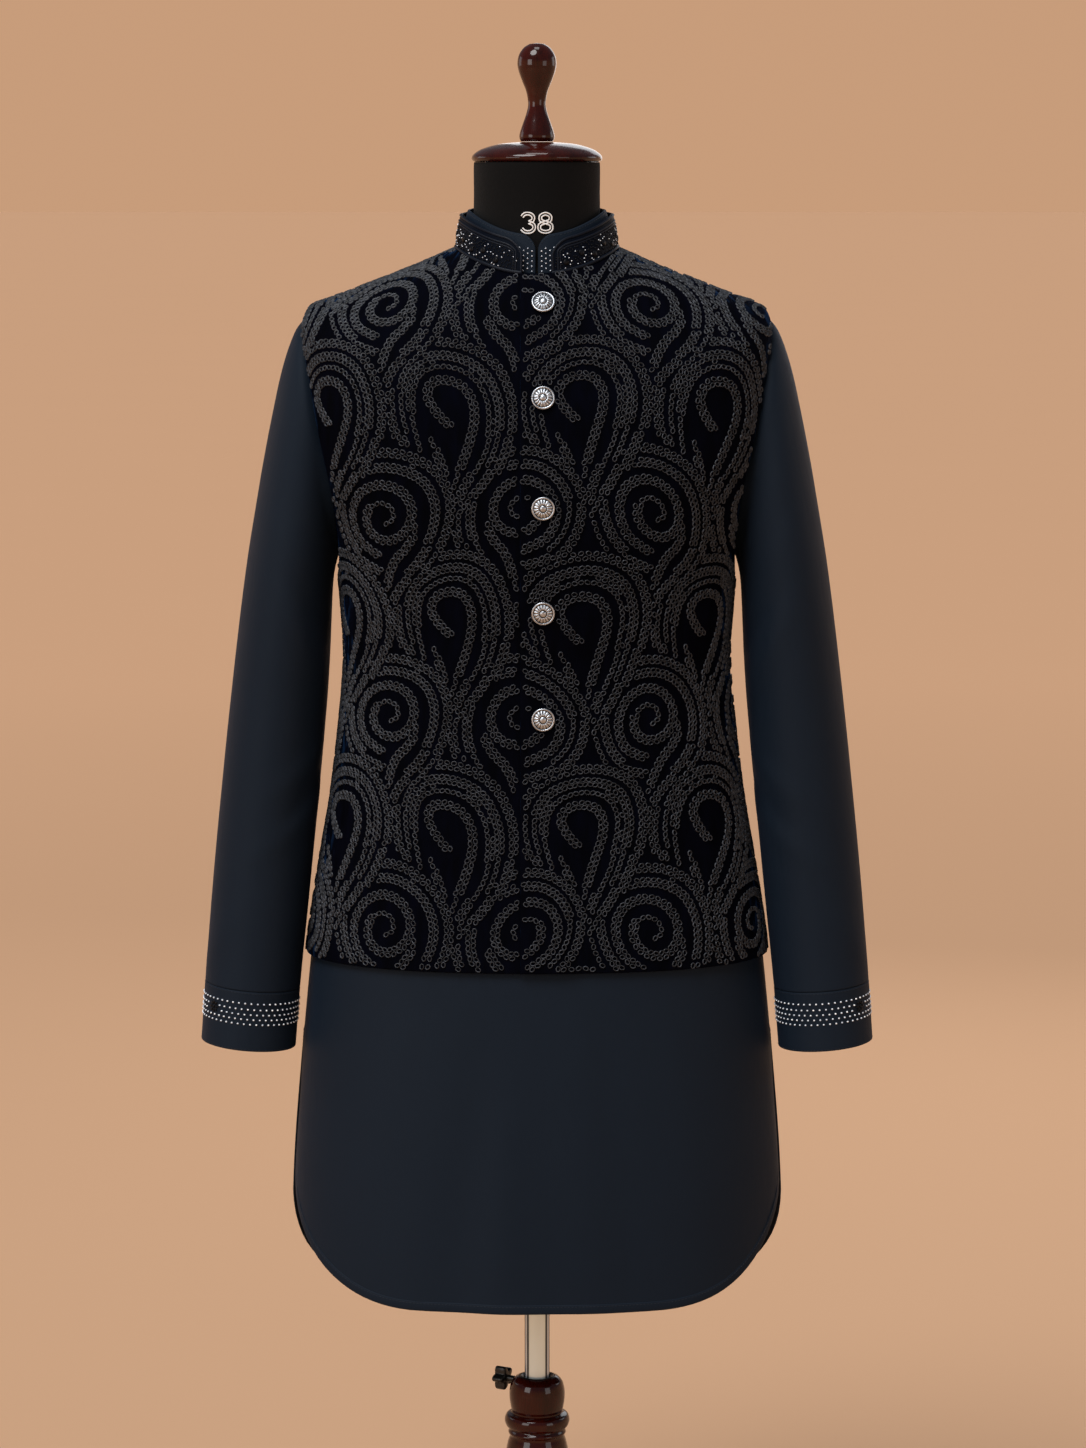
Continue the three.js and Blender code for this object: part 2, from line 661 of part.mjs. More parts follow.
// A solid turned about the pole's axis, from points that start and end on that axis.
function turned(points, sides = ROUND_SIDES) {
  const outline = points.map(([radius, z]) => new THREE.Vector2(radius, z));
  return new THREE.LatheGeometry(outline, sides).rotateX(Math.PI / 2);
}
const asPoints = (rows) => rows.map((row) => [row.radius, row.z]);
const upwards = (rows) => asPoints(rows).reverse();

function finial() {
  const [topRadius, bottomZ] = [0, FINIAL_PROFILE[FINIAL_PROFILE.length - 1].z];
  return turned([[0, bottomZ], ...upwards(FINIAL_PROFILE), [topRadius, FINIAL_TOP_Z]], 18);
}
const cap = () => turned([[0, CAP_PROFILE.at(-1).z], ...upwards(CAP_PROFILE), [0, CAP_PROFILE[0].z]]);

function pole() {
  const flangeTop = FORM_BOTTOM_Z - SEAM_GAP;
  const flangeBottom = flangeTop - FLANGE_THICKNESS;
  return turned([
    [0, POLE_BOTTOM_Z],
    [POLE_RADIUS, POLE_BOTTOM_Z],
    [POLE_RADIUS, flangeBottom - 18],
    [POLE_RADIUS + 6, flangeBottom - 16],
    [POLE_RADIUS + 6, flangeBottom],
    [FLANGE_RADIUS, flangeBottom],
    [FLANGE_RADIUS, flangeTop],
    [0, flangeTop],
  ]);
}

const BORE_RADIUS = POLE_RADIUS + SEAM_GAP;
function bushing() {
  const lip = BUSHING_RADIUS - SEAM_GAP;
  const bottom = COLUMN_TOP_Z - BUSHING_DEPTH + SEAM_GAP;
  const outline = [
    [BORE_RADIUS, bottom],
    [lip, bottom],
    [lip, COLUMN_TOP_Z - 1],
    [lip - 1.6, COLUMN_TOP_Z + 0.6],
    [BORE_RADIUS, COLUMN_TOP_Z - 2],
    [BORE_RADIUS, bottom],
  ];
  return geometryOf(solidOf(turned(outline)).subtract(solidOf(screwHole())));
}

function base() {
  return turned([[0, BASE_PROFILE.at(-1).z], ...upwards(BASE_PROFILE), [0, BASE_PROFILE[0].z]], 36);
}

// A closed geometry as a manifold-3d solid, and back.
function solidOf(geometry) {
  const bare = geometry.clone();
  ["normal", "uv"].forEach((name) => bare.deleteAttribute(name));
  const merged = mergeVertices(bare, 1e-4);
  const vertProperties = new Float32Array(merged.attributes.position.array);
  const triVerts = new Uint32Array(merged.index.array);
  return new wasm.Manifold(new wasm.Mesh({ numProp: 3, vertProperties, triVerts }));
}
function geometryOf(solid) {
  const mesh = solid.getMesh();
  const geometry = new THREE.BufferGeometry();
  geometry.setAttribute("position", new THREE.BufferAttribute(new Float32Array(mesh.vertProperties), 3));
  geometry.setIndex(new THREE.BufferAttribute(new Uint32Array(mesh.triVerts), 1));
  geometry.computeVertexNormals();
  return geometry;
}

// The clamp screw's axis runs out from the pole at the knob's height.
function alongScrew(geometry) {
  const placed = geometry.clone();
  placed.rotateY(Math.PI / 2);
  placed.rotateZ(KNOB_YAW);
  placed.translate(0, 0, KNOB_Z);
  return placed;
}
const SCREW_SIDES = 12;
function rod(radius, from, to) {
  const geometry = new THREE.CylinderGeometry(radius, radius, to - from, SCREW_SIDES);
  geometry.rotateX(Math.PI / 2);
  return geometry.translate(0, 0, (from + to) / 2);
}

const screwHole = () => alongScrew(rod(SCREW_RADIUS + SEAM_GAP, POLE_RADIUS / 2, KNOB_OUT));

// Turned column with its blind bore, the bushing's seat and the clamp screw's hole
function column() {
  const seatZ = COLUMN_TOP_Z - BUSHING_DEPTH;
  const outline = [
    [0, COLUMN_FOOT_Z],
    ...upwards(COLUMN_PROFILE),
    [BUSHING_RADIUS, COLUMN_TOP_Z],
    [BUSHING_RADIUS, seatZ],
    [BORE_RADIUS, seatZ],
    [BORE_RADIUS, BORE_BOTTOM_Z],
    [0, BORE_BOTTOM_Z],
  ];
  return geometryOf(solidOf(turned(outline)).subtract(solidOf(screwHole())));
}

// Lobed knob and its screw
const KNOB_LOBES = 5;
function knob() {
  const outline = steps(30)
    .slice(0, -1)
    .map((f) => {
      const turn = 2 * Math.PI * f;
      const radius = KNOB_RADIUS - KNOB_LOBE + KNOB_LOBE * Math.cos(KNOB_LOBES * turn);
      return new THREE.Vector2(radius * Math.cos(turn), radius * Math.sin(turn));
    });
  const head = new THREE.ExtrudeGeometry(new THREE.Shape(outline), {
    depth: KNOB_THICKNESS - 3,
    bevelEnabled: true,
    bevelSize: 1.5,
    bevelThickness: 1.5,
    bevelOffset: -1.5,
    bevelSegments: 1,
  }).translate(0, 0, KNOB_OUT + 1.5);
  const screw = rod(SCREW_RADIUS, POLE_RADIUS + SEAM_GAP, KNOB_OUT + 4);
  return geometryOf(solidOf(alongScrew(head)).add(solidOf(alongScrew(screw))));
}

// Domed button, its back on the plane z = 0
function button() {
  const outline = [
    [0, 0],
    [BUTTON_RADIUS - 1.2, 0],
    [BUTTON_RADIUS, 1.4],
    [BUTTON_RADIUS - 0.5, 2.6],
    [BUTTON_RADIUS - 2.2, 3.2],
    [BUTTON_RADIUS * 0.45, BUTTON_THICKNESS - 0.5],
    [0, BUTTON_THICKNESS],
  ];
  return turned(outline, 14);
}

// Seats a button on a panel: its back clears the nearest facet under it by the seam gap.
const BUTTON_PROBES = 12;
const PROBE_REACH = 20;
function seatButton(mesh, panel, z) {
  const ring = solve((r) => blockPoint(-Math.PI / 2, r).z, z, RING_OF.belly, NECKLINE);
  const angle = frontAngleAtX(BUTTON_X, ring);
  const outward = blockNormal(angle, ring);
  const start = offBlock(angle, ring, PROBE_REACH);
  const turnTo = new THREE.Quaternion().setFromUnitVectors(new THREE.Vector3(0, 0, 1), outward);
  const probe = new THREE.Raycaster();
  const distances = steps(BUTTON_PROBES).map((f) => {
    const rim = new THREE.Vector3(Math.cos(2 * Math.PI * f), Math.sin(2 * Math.PI * f), 0);
    const from = start.clone().add(rim.multiplyScalar(BUTTON_RADIUS).applyQuaternion(turnTo));
    probe.set(from, outward.clone().negate());
    return probe.intersectObject(panel)[0].distance;
  });
  mesh.position.copy(start.addScaledVector(outward, SEAM_GAP - Math.min(...distances)));
  mesh.quaternion.copy(turnTo);
}

// Finishes
const finish = (color, roughness, metalness = 0) => new THREE.MeshStandardMaterial({ color, roughness, metalness });
const NAVY_CLOTH = finish(0x1d2330, 0.8);
const VELVET = finish(0x0b0c16, 0.9);
const WOOD = finish(0x2f130b, 0.2);
const JERSEY = finish(0x101010, 0.9);
const CHROME = finish(0xd8d8d6, 0.12, 1);
const BLACK_PLASTIC = finish(0x0d0d0c, 0.45);
const BUTTON_METAL = finish(0xa9a7a0, 0.35, 1);

const group = new THREE.Group();
function add(name, geometry, material) {
  const mesh = new THREE.Mesh(geometry, material);
  mesh.name = name;
  group.add(mesh);
  return mesh;
}

// Kurta
add("kurta_front", kurtaPanel(-1, FRONT_HEM_Z, KURTA_ARMHOLE.front), NAVY_CLOTH);
add("kurta_back", kurtaPanel(1, BACK_HEM_Z, KURTA_ARMHOLE.back), NAVY_CLOTH);
add("kurta_placket", placket(), NAVY_CLOTH);
add("kurta_collar", collar(KURTA_COLLAR, NECKLINE, () => 0), NAVY_CLOTH);
const LEFT_SLEEVE = sleeveSections();
const LEFT_CUFF = cuffSections();
add("kurta_sleeve_left", tube(LEFT_SLEEVE, KURTA_CLOTH), NAVY_CLOTH);
add("kurta_sleeve_right", tube(mirrorX(LEFT_SLEEVE), KURTA_CLOTH), NAVY_CLOTH);
add("kurta_cuff_left", tube(LEFT_CUFF, CUFF_CLOTH), NAVY_CLOTH);
add("kurta_cuff_right", tube(mirrorX(LEFT_CUFF), CUFF_CLOTH), NAVY_CLOTH);

// Waistcoat
const LAP_RAISE = WAISTCOAT_CLOTH + SEAM_GAP;
const upperFront = add("waistcoat_front_left", waistcoatFront(1, UPPER_EDGE_X, LAP_RAISE), VELVET);
add("waistcoat_front_right", waistcoatFront(-1, -UNDER_EDGE_X, 0), VELVET);
add("waistcoat_back", waistcoatBack(), VELVET);
const WAISTCOAT_FACE = (angle, ring) => waistcoatAir(angle, ring) + WAISTCOAT_CLOTH;
add("waistcoat_collar", collar(WAISTCOAT_COLLAR, WAISTCOAT_NECK, WAISTCOAT_FACE), NAVY_CLOTH);
BUTTON_ZS.forEach((z, i) => seatButton(add(`waistcoat_button_${i + 1}`, button(), BUTTON_METAL), upperFront, z));

// Dress form and stand
add("form_torso", formTorso(), JERSEY);
add("neck_cap", cap(), WOOD);
add("finial", finial(), WOOD);
add("pole", pole(), CHROME);
add("stand_column", column(), WOOD);
add("stand_bushing", bushing(), BLACK_PLASTIC);
add("stand_base", base(), WOOD);
add("clamp_knob", knob(), BLACK_PLASTIC);

export default group;
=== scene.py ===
"""A kurta and a cord-embroidered velvet waistcoat on a limbless dress form and turned stand.

Sizes are worked out in millimetres in the part's frame and become metres in the meshes: +Z up, the
fronts face -Y, the wearer's left is +X, and the origin lies on the floor under the pole.
"""

from __future__ import annotations

import logging
import math
from collections.abc import Callable, Iterable, Mapping, Sequence
from dataclasses import dataclass
from enum import Enum

import bpy
import numpy as np
from mathutils import Euler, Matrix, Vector


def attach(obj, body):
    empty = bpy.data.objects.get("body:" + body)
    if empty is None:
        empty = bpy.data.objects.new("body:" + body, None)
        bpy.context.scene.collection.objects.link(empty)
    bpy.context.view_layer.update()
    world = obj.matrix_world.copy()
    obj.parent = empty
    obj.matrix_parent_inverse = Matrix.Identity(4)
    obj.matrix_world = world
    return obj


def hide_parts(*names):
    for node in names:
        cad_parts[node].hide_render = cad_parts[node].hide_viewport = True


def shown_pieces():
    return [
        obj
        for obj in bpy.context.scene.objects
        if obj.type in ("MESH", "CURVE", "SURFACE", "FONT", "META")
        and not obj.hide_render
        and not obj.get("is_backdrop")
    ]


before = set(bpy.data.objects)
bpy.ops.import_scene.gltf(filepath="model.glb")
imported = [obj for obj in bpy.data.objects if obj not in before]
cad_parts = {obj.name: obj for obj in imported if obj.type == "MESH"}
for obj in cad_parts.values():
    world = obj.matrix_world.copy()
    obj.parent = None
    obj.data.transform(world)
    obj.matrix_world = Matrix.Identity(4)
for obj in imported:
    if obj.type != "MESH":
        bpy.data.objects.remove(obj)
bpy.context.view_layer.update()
LOG = logging.getLogger("kurta_set")
MM = 0.001
SEAM_GAP = 0.3
MIRROR = (-1, 1, 1)
EDGE_ROLL = 0.6
EDGE_THINNEST = 0.12
EDGE_STEPS = (0.0, 0.3, 0.8, 1.6, 3.2, 6.0)
CLOTH_UV = "Cloth"
Array = np.ndarray
Piece = bpy.types.Object
Colour = tuple[float, float, float]
Outline = Sequence[tuple[float, float]]


class Body(str, Enum):
    """The rigid bodies that pieces ride on."""

    STAND = "stand"
    FORM = "form"
    CLAMP = "clamp"


class Slot(str, Enum):
    """The material slots of the record."""

    KURTA = "kurta_cloth"
    VELVET = "velvet"
    COLLAR = "collar_cloth"
    BUTTON = "button_metal"
    JERSEY = "jersey"
    WOOD = "wood"
    CHROME = "chrome"
    PLASTIC = "black_plastic"


class Hand(Enum):
    """The wearer's left (+X) or right (-X)."""

    LEFT = 1
    RIGHT = -1

    @property
    def word(self) -> str:
        """The hand's name in piece names."""
        return self.name.lower()


# Numbers and smooth curves


def smoothstep(low: float, high: float, x: Array | float) -> Array:
    """A smooth rise from 0 at low to 1 at high."""
    t = np.clip((np.asarray(x, float) - low) / (high - low), 0.0, 1.0)
    return t * t * (3 - 2 * t)


def unit(vectors: Array) -> Array:
    """Vectors scaled to length 1 along the last axis."""
    return vectors / np.maximum(np.linalg.norm(vectors, axis=-1, keepdims=True), 1e-12)


def hermite(values: Array, place: Array | float) -> Array:
    """Values of a row of numbers or points, read between them on a smooth curve.

    Args:
        values: One row per stop.
        place: Fractional stop numbers.

    Returns:
        One value per place.
    """
    last = len(values) - 1
    at = np.clip(np.asarray(place, float), 0, last)
    i = np.minimum(np.floor(at).astype(int), last - 1)
    f = at - i
    if values.ndim > 1:
        f = f.reshape(f.shape + (1,) * (values.ndim - 1))
    a, b, c, d = (values[np.clip(i + k, 0, last)] for k in (-1, 0, 1, 2))
    rise, fall = (c - a) / 2, (d - b) / 2
    f2, f3 = f * f, f * f * f
    return (2 * f3 - 3 * f2 + 1) * b + (f3 - 2 * f2 + f) * rise + (3 * f2 - 2 * f3) * c + (f3 - f2) * fall


def whole_turn(count: int) -> Array:
    """Angles spaced evenly round a circle."""
    return np.arange(count) / count * 2 * math.pi


def lengths_along(points: Array) -> Array:
    """Distance from the first point of a line to each of its points."""
    return np.concatenate([[0.0], np.cumsum(np.linalg.norm(np.diff(points, axis=0), axis=-1))])


def read_along(values: Array, along: Array, places: Array) -> Array:
    """Rows of values read at distances along a line."""
    return np.stack([np.interp(places, along, column) for column in values.T], 1)


def spline(points: Sequence[Sequence[float]], step: float) -> Array:
    """A smooth line through points, resampled at a step of its length."""
    stops = np.array(points, float)
    line = hermite(stops, np.linspace(0, len(stops) - 1, 20 * len(stops)))
    along = lengths_along(line)
    places = np.linspace(0, along[-1], max(int(round(along[-1] / step)), 2) + 1)
    return read_along(line, along, places)


# Meshes


def build_mesh(name: str, points: Array, faces: Iterable[Array], uv: Array | None = None) -> Piece:
    """Makes a smooth-shaded mesh object.

    Args:
        name: The piece's name.
        points: Vertices in millimetres.
        faces: Arrays of vertex numbers, each array with its own count of corners a face.
        uv: Flat coordinates of each vertex, in metres of cloth.

    Returns:
        The new object, linked to the scene.
    """
    groups = [np.asarray(f, np.int32) for f in faces if len(f)]
    corners = np.concatenate([f.ravel() for f in groups])
    totals = np.concatenate([np.full(len(f), f.shape[1], np.int32) for f in groups])
    mesh = bpy.data.meshes.new(name)
    mesh.vertices.add(len(points))
    mesh.vertices.foreach_set("co", (np.asarray(points, np.float32) * MM).ravel())
    mesh.loops.add(len(corners))
    mesh.loops.foreach_set("vertex_index", corners)
    mesh.polygons.add(len(totals))
    mesh.polygons.foreach_set("loop_start", np.concatenate([[0], np.cumsum(totals)[:-1]]).astype(np.int32))
    mesh.polygons.foreach_set("use_smooth", np.ones(len(totals), bool))
    if uv is not None:
        layer = mesh.uv_layers.new(name=CLOTH_UV)
        layer.data.foreach_set("uv", np.asarray(uv, np.float32)[corners].ravel())
    mesh.update(calc_edges=True)
    mesh.validate()
    piece = bpy.data.objects.new(name, mesh)
    bpy.context.scene.collection.objects.link(piece)
    return piece


def place_piece(
    piece: Piece, body: Body, finish: bpy.types.Material, replaces: Sequence[str] = ()
) -> Piece:
    """Gives a piece its material, its body and the nodes that it stands for."""
    piece.data.materials.append(finish)
    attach(piece, body.value)
    if replaces:
        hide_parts(*replaces)
    LOG.info("%s: %d faces on %s", piece.name, len(piece.data.polygons), body.value)
    return piece


def grid_faces(rows: int, columns: int, around: bool = False, start: int = 0) -> Array:
    """Quads of a grid of points stored row by row, facing the side from which columns run rightwards."""
    spans = columns if around else columns - 1
    r, c = np.meshgrid(np.arange(rows - 1), np.arange(spans), indexing="ij")
    c2 = (c + 1) % columns
    quads = np.stack([r * columns + c, r * columns + c2, (r + 1) * columns + c2, (r + 1) * columns + c], -1)
    return quads.reshape(-1, 4) + start


@dataclass
class Shell:
    """A thin closed wall between two grids of points, whose edges are rolled."""

    outer: Array
    inner: Array
    flat: Array
    around: bool = False

    def points(self) -> Array:
        """All vertices: the outer grid, then the inner one."""
        return np.concatenate([self.outer.reshape(-1, 3), self.inner.reshape(-1, 3)])

    def faces(self) -> list[Array]:
        """Quads of both sides and of the edges."""
        rows, columns = self.outer.shape[:2]
        size = rows * columns
        front = grid_faces(rows, columns, self.around)
        back = grid_faces(rows, columns, self.around, size)[:, ::-1]
        spans = columns if self.around else columns - 1
        c = np.arange(spans)
        c2 = (c + 1) % columns
        top = (rows - 1) * columns
        rims = [
            np.stack([c, c + size, c2 + size, c2], -1),
            np.stack([top + c, top + c2, top + c2 + size, top + c + size], -1),
        ]
        if not self.around:
            r = np.arange(rows - 1) * columns
            right = r + columns - 1
            rims.append(np.stack([r, r + columns, r + columns + size, r + size], -1))
            rims.append(np.stack([right, right + size, right + columns + size, right + columns], -1))
        return [front, back, *rims]

    def piece(self, name: str) -> Piece:
        """The wall as a mesh object, with the cloth's flat coordinates."""
        uv = np.concatenate([self.flat.reshape(-1, 2)] * 2) * MM
        return build_mesh(name, self.points(), self.faces(), uv)


def drawn_in(distance: Array, cloth: float) -> Array:
    """How far the faces of a cloth draw together at a distance from its edge, rounded like a folded edge."""
    t = np.clip(1 - np.asarray(distance, float) / (EDGE_ROLL * cloth), 0, 1)
    return (1 - np.maximum(np.sqrt(1 - t * t), EDGE_THINNEST)) * cloth / 2


def sweep(points: Array, normals: Array, profile: Array) -> tuple[Array, list[Array]]:
    """A solid strip along a line, with flat ends.

    Args:
        points: The line.
        normals: Outward directions at its points.
        profile: Closed outline as (sideways, outward) pairs.

    Returns:
        Vertices and faces.
    """
    tangent = unit(np.gradient(points, axis=0))
    across = unit(np.cross(normals, tangent))
    outward = unit(np.cross(tangent, across))
    rings = points[:, None] + across[:, None] * profile[None, :, :1] + outward[:, None] * profile[None, :, 1:]
    rows, columns = rings.shape[:2]
    ends = [np.arange(columns)[None, ::-1], (np.arange(columns) + (rows - 1) * columns)[None]]
    return rings.reshape(-1, 3), [grid_faces(rows, columns, True), *ends]


def round_profile(width: float, height: float, count: int = 8, sink: float = 0.0) -> Array:
    """Outline of a rounded cord or strip, resting on its line."""
    turn = -whole_turn(count)
    return np.stack([np.cos(turn) * width / 2, np.sin(turn) * height / 2 + height / 2 - sink], 1)


class Heap:
    """Many small shapes gathered into one mesh."""

    def __init__(self) -> None:
        """Starts empty."""
        self._points: list[Array] = []
        self._faces: list[Array] = []
        self._count = 0

    def add(self, points: Array, faces: Iterable[Array]) -> None:
        """Adds one shape."""
        self._points.append(points)
        self._faces.extend(np.asarray(f) + self._count for f in faces)
        self._count += len(points)

    def stamp(self, shape: Array, faces: Iterable[Array], centres: Array, axes: Array) -> None:
        """Adds a copy of a shape at each centre.

        Args:
            shape: The shape's vertices.
            faces: Its faces.
            centres: One point per copy.
            axes: One 3 by 3 matrix per copy, whose rows are the shape's directions there.
        """
        if not len(centres):
            return
        placed = np.einsum("vk,nkj->nvj", shape, axes) + centres[:, None]
        shift = np.arange(len(centres))[:, None, None] * len(shape)
        copies = [(np.asarray(f)[None] + shift).reshape(-1, np.shape(f)[1]) for f in faces]
        self.add(placed.reshape(-1, 3), copies)

    def piece(self, name: str) -> Piece:
        """The heap as one mesh object."""
        return build_mesh(name, np.concatenate(self._points), self._faces)


def dome(width: float, length: float, height: float, sides: int = 6) -> tuple[Array, list[Array]]:
    """A low bead: its foot, a shoulder ring and its top point."""
    turn = whole_turn(sides)
    ring = np.stack([np.cos(turn) * width / 2, np.sin(turn) * length / 2, np.zeros(sides)], 1)
    shoulder = ring * [0.72, 0.72, 0] + [0, 0, height * 0.72]
    points = np.concatenate([ring - [0, 0, 0.25], shoulder, [[0, 0, height]]])
    k = np.arange(sides)
    caps = np.stack([sides + k, sides + (k + 1) % sides, np.full(sides, 2 * sides)], 1)
    return points, [grid_faces(2, sides, True), caps, k[None, ::-1]]


def frames_of(normals: Array, tangents: Array) -> Array:
    """Matrices whose rows are sideways, along and outward."""
    outward = unit(normals)
    along = unit(tangents - outward * np.sum(tangents * outward, -1, keepdims=True))
    return np.stack([np.cross(along, outward), along, outward], 1)


# Shaders


class Wire:
    """A shader socket, with operators that add Math nodes."""

    def __init__(self, tree: bpy.types.NodeTree, socket: bpy.types.NodeSocket) -> None:
        """Wraps a socket of a node tree."""
        self.tree = tree
        self.socket = socket

    def math(self, operation: str, other: Wire | float | None = None) -> Wire:
        """The result of a Math node on this socket, and another one or a number."""
        node = self.tree.nodes.new("ShaderNodeMath")
        node.operation = operation
        for i, item in enumerate((self, other)):
            if isinstance(item, Wire):
                self.tree.links.new(item.socket, node.inputs[i])
            elif item is not None:
                node.inputs[i].default_value = item
        return Wire(self.tree, node.outputs[0])

    def __add__(self, other: Wire | float) -> Wire:
        """Sum."""
        return self.math("ADD", other)

    def __mul__(self, other: Wire | float) -> Wire:
        """Product."""
        return self.math("MULTIPLY", other)

    def sine(self) -> Wire:
        """Sine of an angle in radians."""
        return self.math("SINE")


class Shader:
    """A material with one Principled surface."""

    def __init__(self, name: str, **constants: float | Colour) -> None:
        """Makes the material.

        Args:
            name: The material's name.
            constants: Values of the Principled sockets, by name with _ for a space.
        """
        self.material = bpy.data.materials.new(name)
        self.material.use_nodes = True
        self.tree = self.material.node_tree
        self.surface = self.tree.nodes["Principled BSDF"]
        for key, value in constants.items():
            socket = self.surface.inputs[key.replace("_", " ")]
            socket.default_value = (*value, 1.0) if isinstance(value, tuple) else value

    def add(
        self,
        kind: str,
        settings: Mapping[str, object] | None = None,
        inputs: Mapping[str | int, object] | None = None,
        output: str | int = 0,
    ) -> Wire:
        """Adds a node.

        Args:
            kind: The node's type without ShaderNode.
            settings: The node's properties. stops are a colour ramp's, as position and colour.
            inputs: Values or wires of its sockets.
            output: Which socket to return.

        Returns:
            The output socket.
        """
        node = self.tree.nodes.new(f"ShaderNode{kind}")
        for key, value in (settings or {}).items():
            if key == "stops":
                self._set_stops(node.color_ramp, value)
            else:
                setattr(node, key, value)
        for key, value in (inputs or {}).items():
            socket = node.inputs[key]
            if isinstance(value, Wire):
                self.tree.links.new(value.socket, socket)
            else:
                socket.default_value = (*value, 1.0) if self._is_colour(socket, value) else value
        return Wire(self.tree, node.outputs[output])

    @staticmethod
    def _is_colour(socket: bpy.types.NodeSocket, value: object) -> bool:
        """Whether a value is a colour without its alpha."""
        return socket.type == "RGBA" and isinstance(value, tuple) and len(value) == 3

    @staticmethod
    def _set_stops(ramp: bpy.types.ColorRamp, stops: Sequence[tuple[float, Colour]]) -> None:
        """Gives a colour ramp its stops."""
        while len(ramp.elements) < len(stops):
            ramp.elements.new(0.5)
        for element, (position, colour) in zip(ramp.elements, stops):
            element.position = position
            element.color = (*colour, 1.0)

    def feed(self, socket: str, wire: Wire) -> None:
        """Links a wire to a socket of the surface."""
        self.tree.links.new(wire.socket, self.surface.inputs[socket])

    def place(self) -> Wire:
        """The point of the surface in metres of the object."""
        return self.add("TexCoord", output="Object")

    def cloth(self) -> Wire:
        """The point of the flat cloth in metres."""
        return self.add("UVMap", {"uv_map": CLOTH_UV})

    def noise(self, where: Wire, scale: float, detail: float = 3.0, roughness: float = 0.5) -> Wire:
        """Noise from 0 to 1 with this many cells a metre."""
        inputs = {"Vector": where, "Scale": scale, "Detail": detail, "Roughness": roughness}
        return self.add("TexNoise", None, inputs)

    def streaks(
        self, where: Wire, cells: tuple[float, float, float], detail: float = 2.0, roughness: float = 0.5
    ) -> Wire:
        """Noise with its own count of cells a metre in each direction."""
        return self.noise(self.add("Mapping", None, {0: where, "Scale": cells}), 1.0, detail, roughness)

    def mix(self, share: Wire, low: Colour | Wire, high: Colour | Wire) -> Wire:
        """A colour between two others."""
        return self.add("Mix", {"data_type": "RGBA"}, {0: share, 6: low, 7: high}, output=2)

    def span(self, value: Wire, low: float, high: float, to_low: float = 0.0, to_high: float = 1.0) -> Wire:
        """A value moved from one range to another, and held inside it."""
        inputs = {"Value": value, "From Min": low, "From Max": high, "To Min": to_low, "To Max": to_high}
        return self.add("MapRange", None, inputs)

    def ribs(self, across: Wire, width: float) -> Wire:
        """Waves from 0 to 1 across a length in metres."""
        return (across * (2 * math.pi / width)).sine() * 0.5 + 0.5

    def bump(self, height: Wire, distance: float, strength: float = 1.0) -> None:
        """Raises the surface by a height times a distance in metres."""
        inputs = {"Height": height, "Distance": distance, "Strength": strength}
        self.feed("Normal", self.add("Bump", None, inputs))


@dataclass(frozen=True)
class TwillCloth:
    """Fine twill of dark navy suiting."""

    name: str = "navy_twill"
    dark: Colour = (0.0038, 0.0081, 0.0152)
    light: Colour = (0.0070, 0.0130, 0.0230)
    rib: float = 0.0011
    slope: float = 1.7
    sheen: float = 0.035
    roughness: float = 0.62

    def material(self) -> bpy.types.Material:
        """The cloth's material."""
        shader = Shader(
            self.name,
            Sheen_Weight=self.sheen,
            Sheen_Roughness=0.4,
            Sheen_Tint=(0.45, 0.6, 1.0),
            Specular_IOR_Level=0.1,
        )
        flat = shader.cloth()
        across, along = (shader.add("SeparateXYZ", None, {0: flat}, output=axis) for axis in (0, 1))
        rib = shader.ribs(across + along * self.slope, self.rib)
        slub = shader.streaks(flat, (260.0, 34.0, 1.0))
        cloud = shader.noise(flat, 5.0, 2.0)
        share = rib * 0.35 + slub * 0.4 + cloud * 0.35
        shader.feed("Base Color", shader.mix(share, self.dark, self.light))
        shader.feed("Roughness", shader.span(slub, 0.2, 0.8, self.roughness - 0.06, self.roughness + 0.06))
        shader.bump(rib * 0.6 + slub * 0.7, 0.00012, 0.55)
        return shader.material


@dataclass(frozen=True)
class VelvetCloth:
    """Short cotton velvet with a blue sheen: partly from its sheen shading, and partly painted into its
    colour in streaks where the surface turns away from the eye.
    """

    name: str = "black_navy_velvet"
    dark: Colour = (0.0004, 0.0005, 0.0014)
    light: Colour = (0.0012, 0.0015, 0.0046)
    # Painted sheen: the blue painted into the colour where the surface turns away from the eye
    painted_sheen: Colour = (0.0075, 0.0290, 0.0820)

    def material(self) -> bpy.types.Material:
        """The cloth's material."""
        shader = Shader(
            self.name,
            Sheen_Weight=0.16,
            Sheen_Roughness=0.22,
            Sheen_Tint=(0.03, 0.12, 0.40),
            Specular_IOR_Level=0.02,
        )
        flat = shader.cloth()
        pile = shader.noise(flat, 1500.0, 2.0, 0.6)
        brushed = shader.streaks(flat, (90.0, 22.0, 1.0), 3.0)
        share = shader.span(brushed * 0.75 + pile * 0.25, 0.35, 0.7)
        # Painted sheen: blue streaks painted into the base colour where the surface turns away from the eye
        facing = shader.add("LayerWeight", None, {"Blend": 0.5}, output="Facing")
        sheen_streak = shader.streaks(flat, (130.0, 42.0, 1.0), 3.0)
        painted_sheen = shader.span(facing, 0.5, 0.86) * shader.span(sheen_streak, 0.52, 0.64)
        pile_colour = shader.mix(share, self.dark, self.light)
        shader.feed("Base Color", shader.mix(painted_sheen, pile_colour, self.painted_sheen))
        shader.feed("Roughness", shader.span(brushed, 0.3, 0.7, 0.8, 0.95))
        shader.bump(pile * 0.6 + brushed, 0.0005, 0.6)
        return shader.material


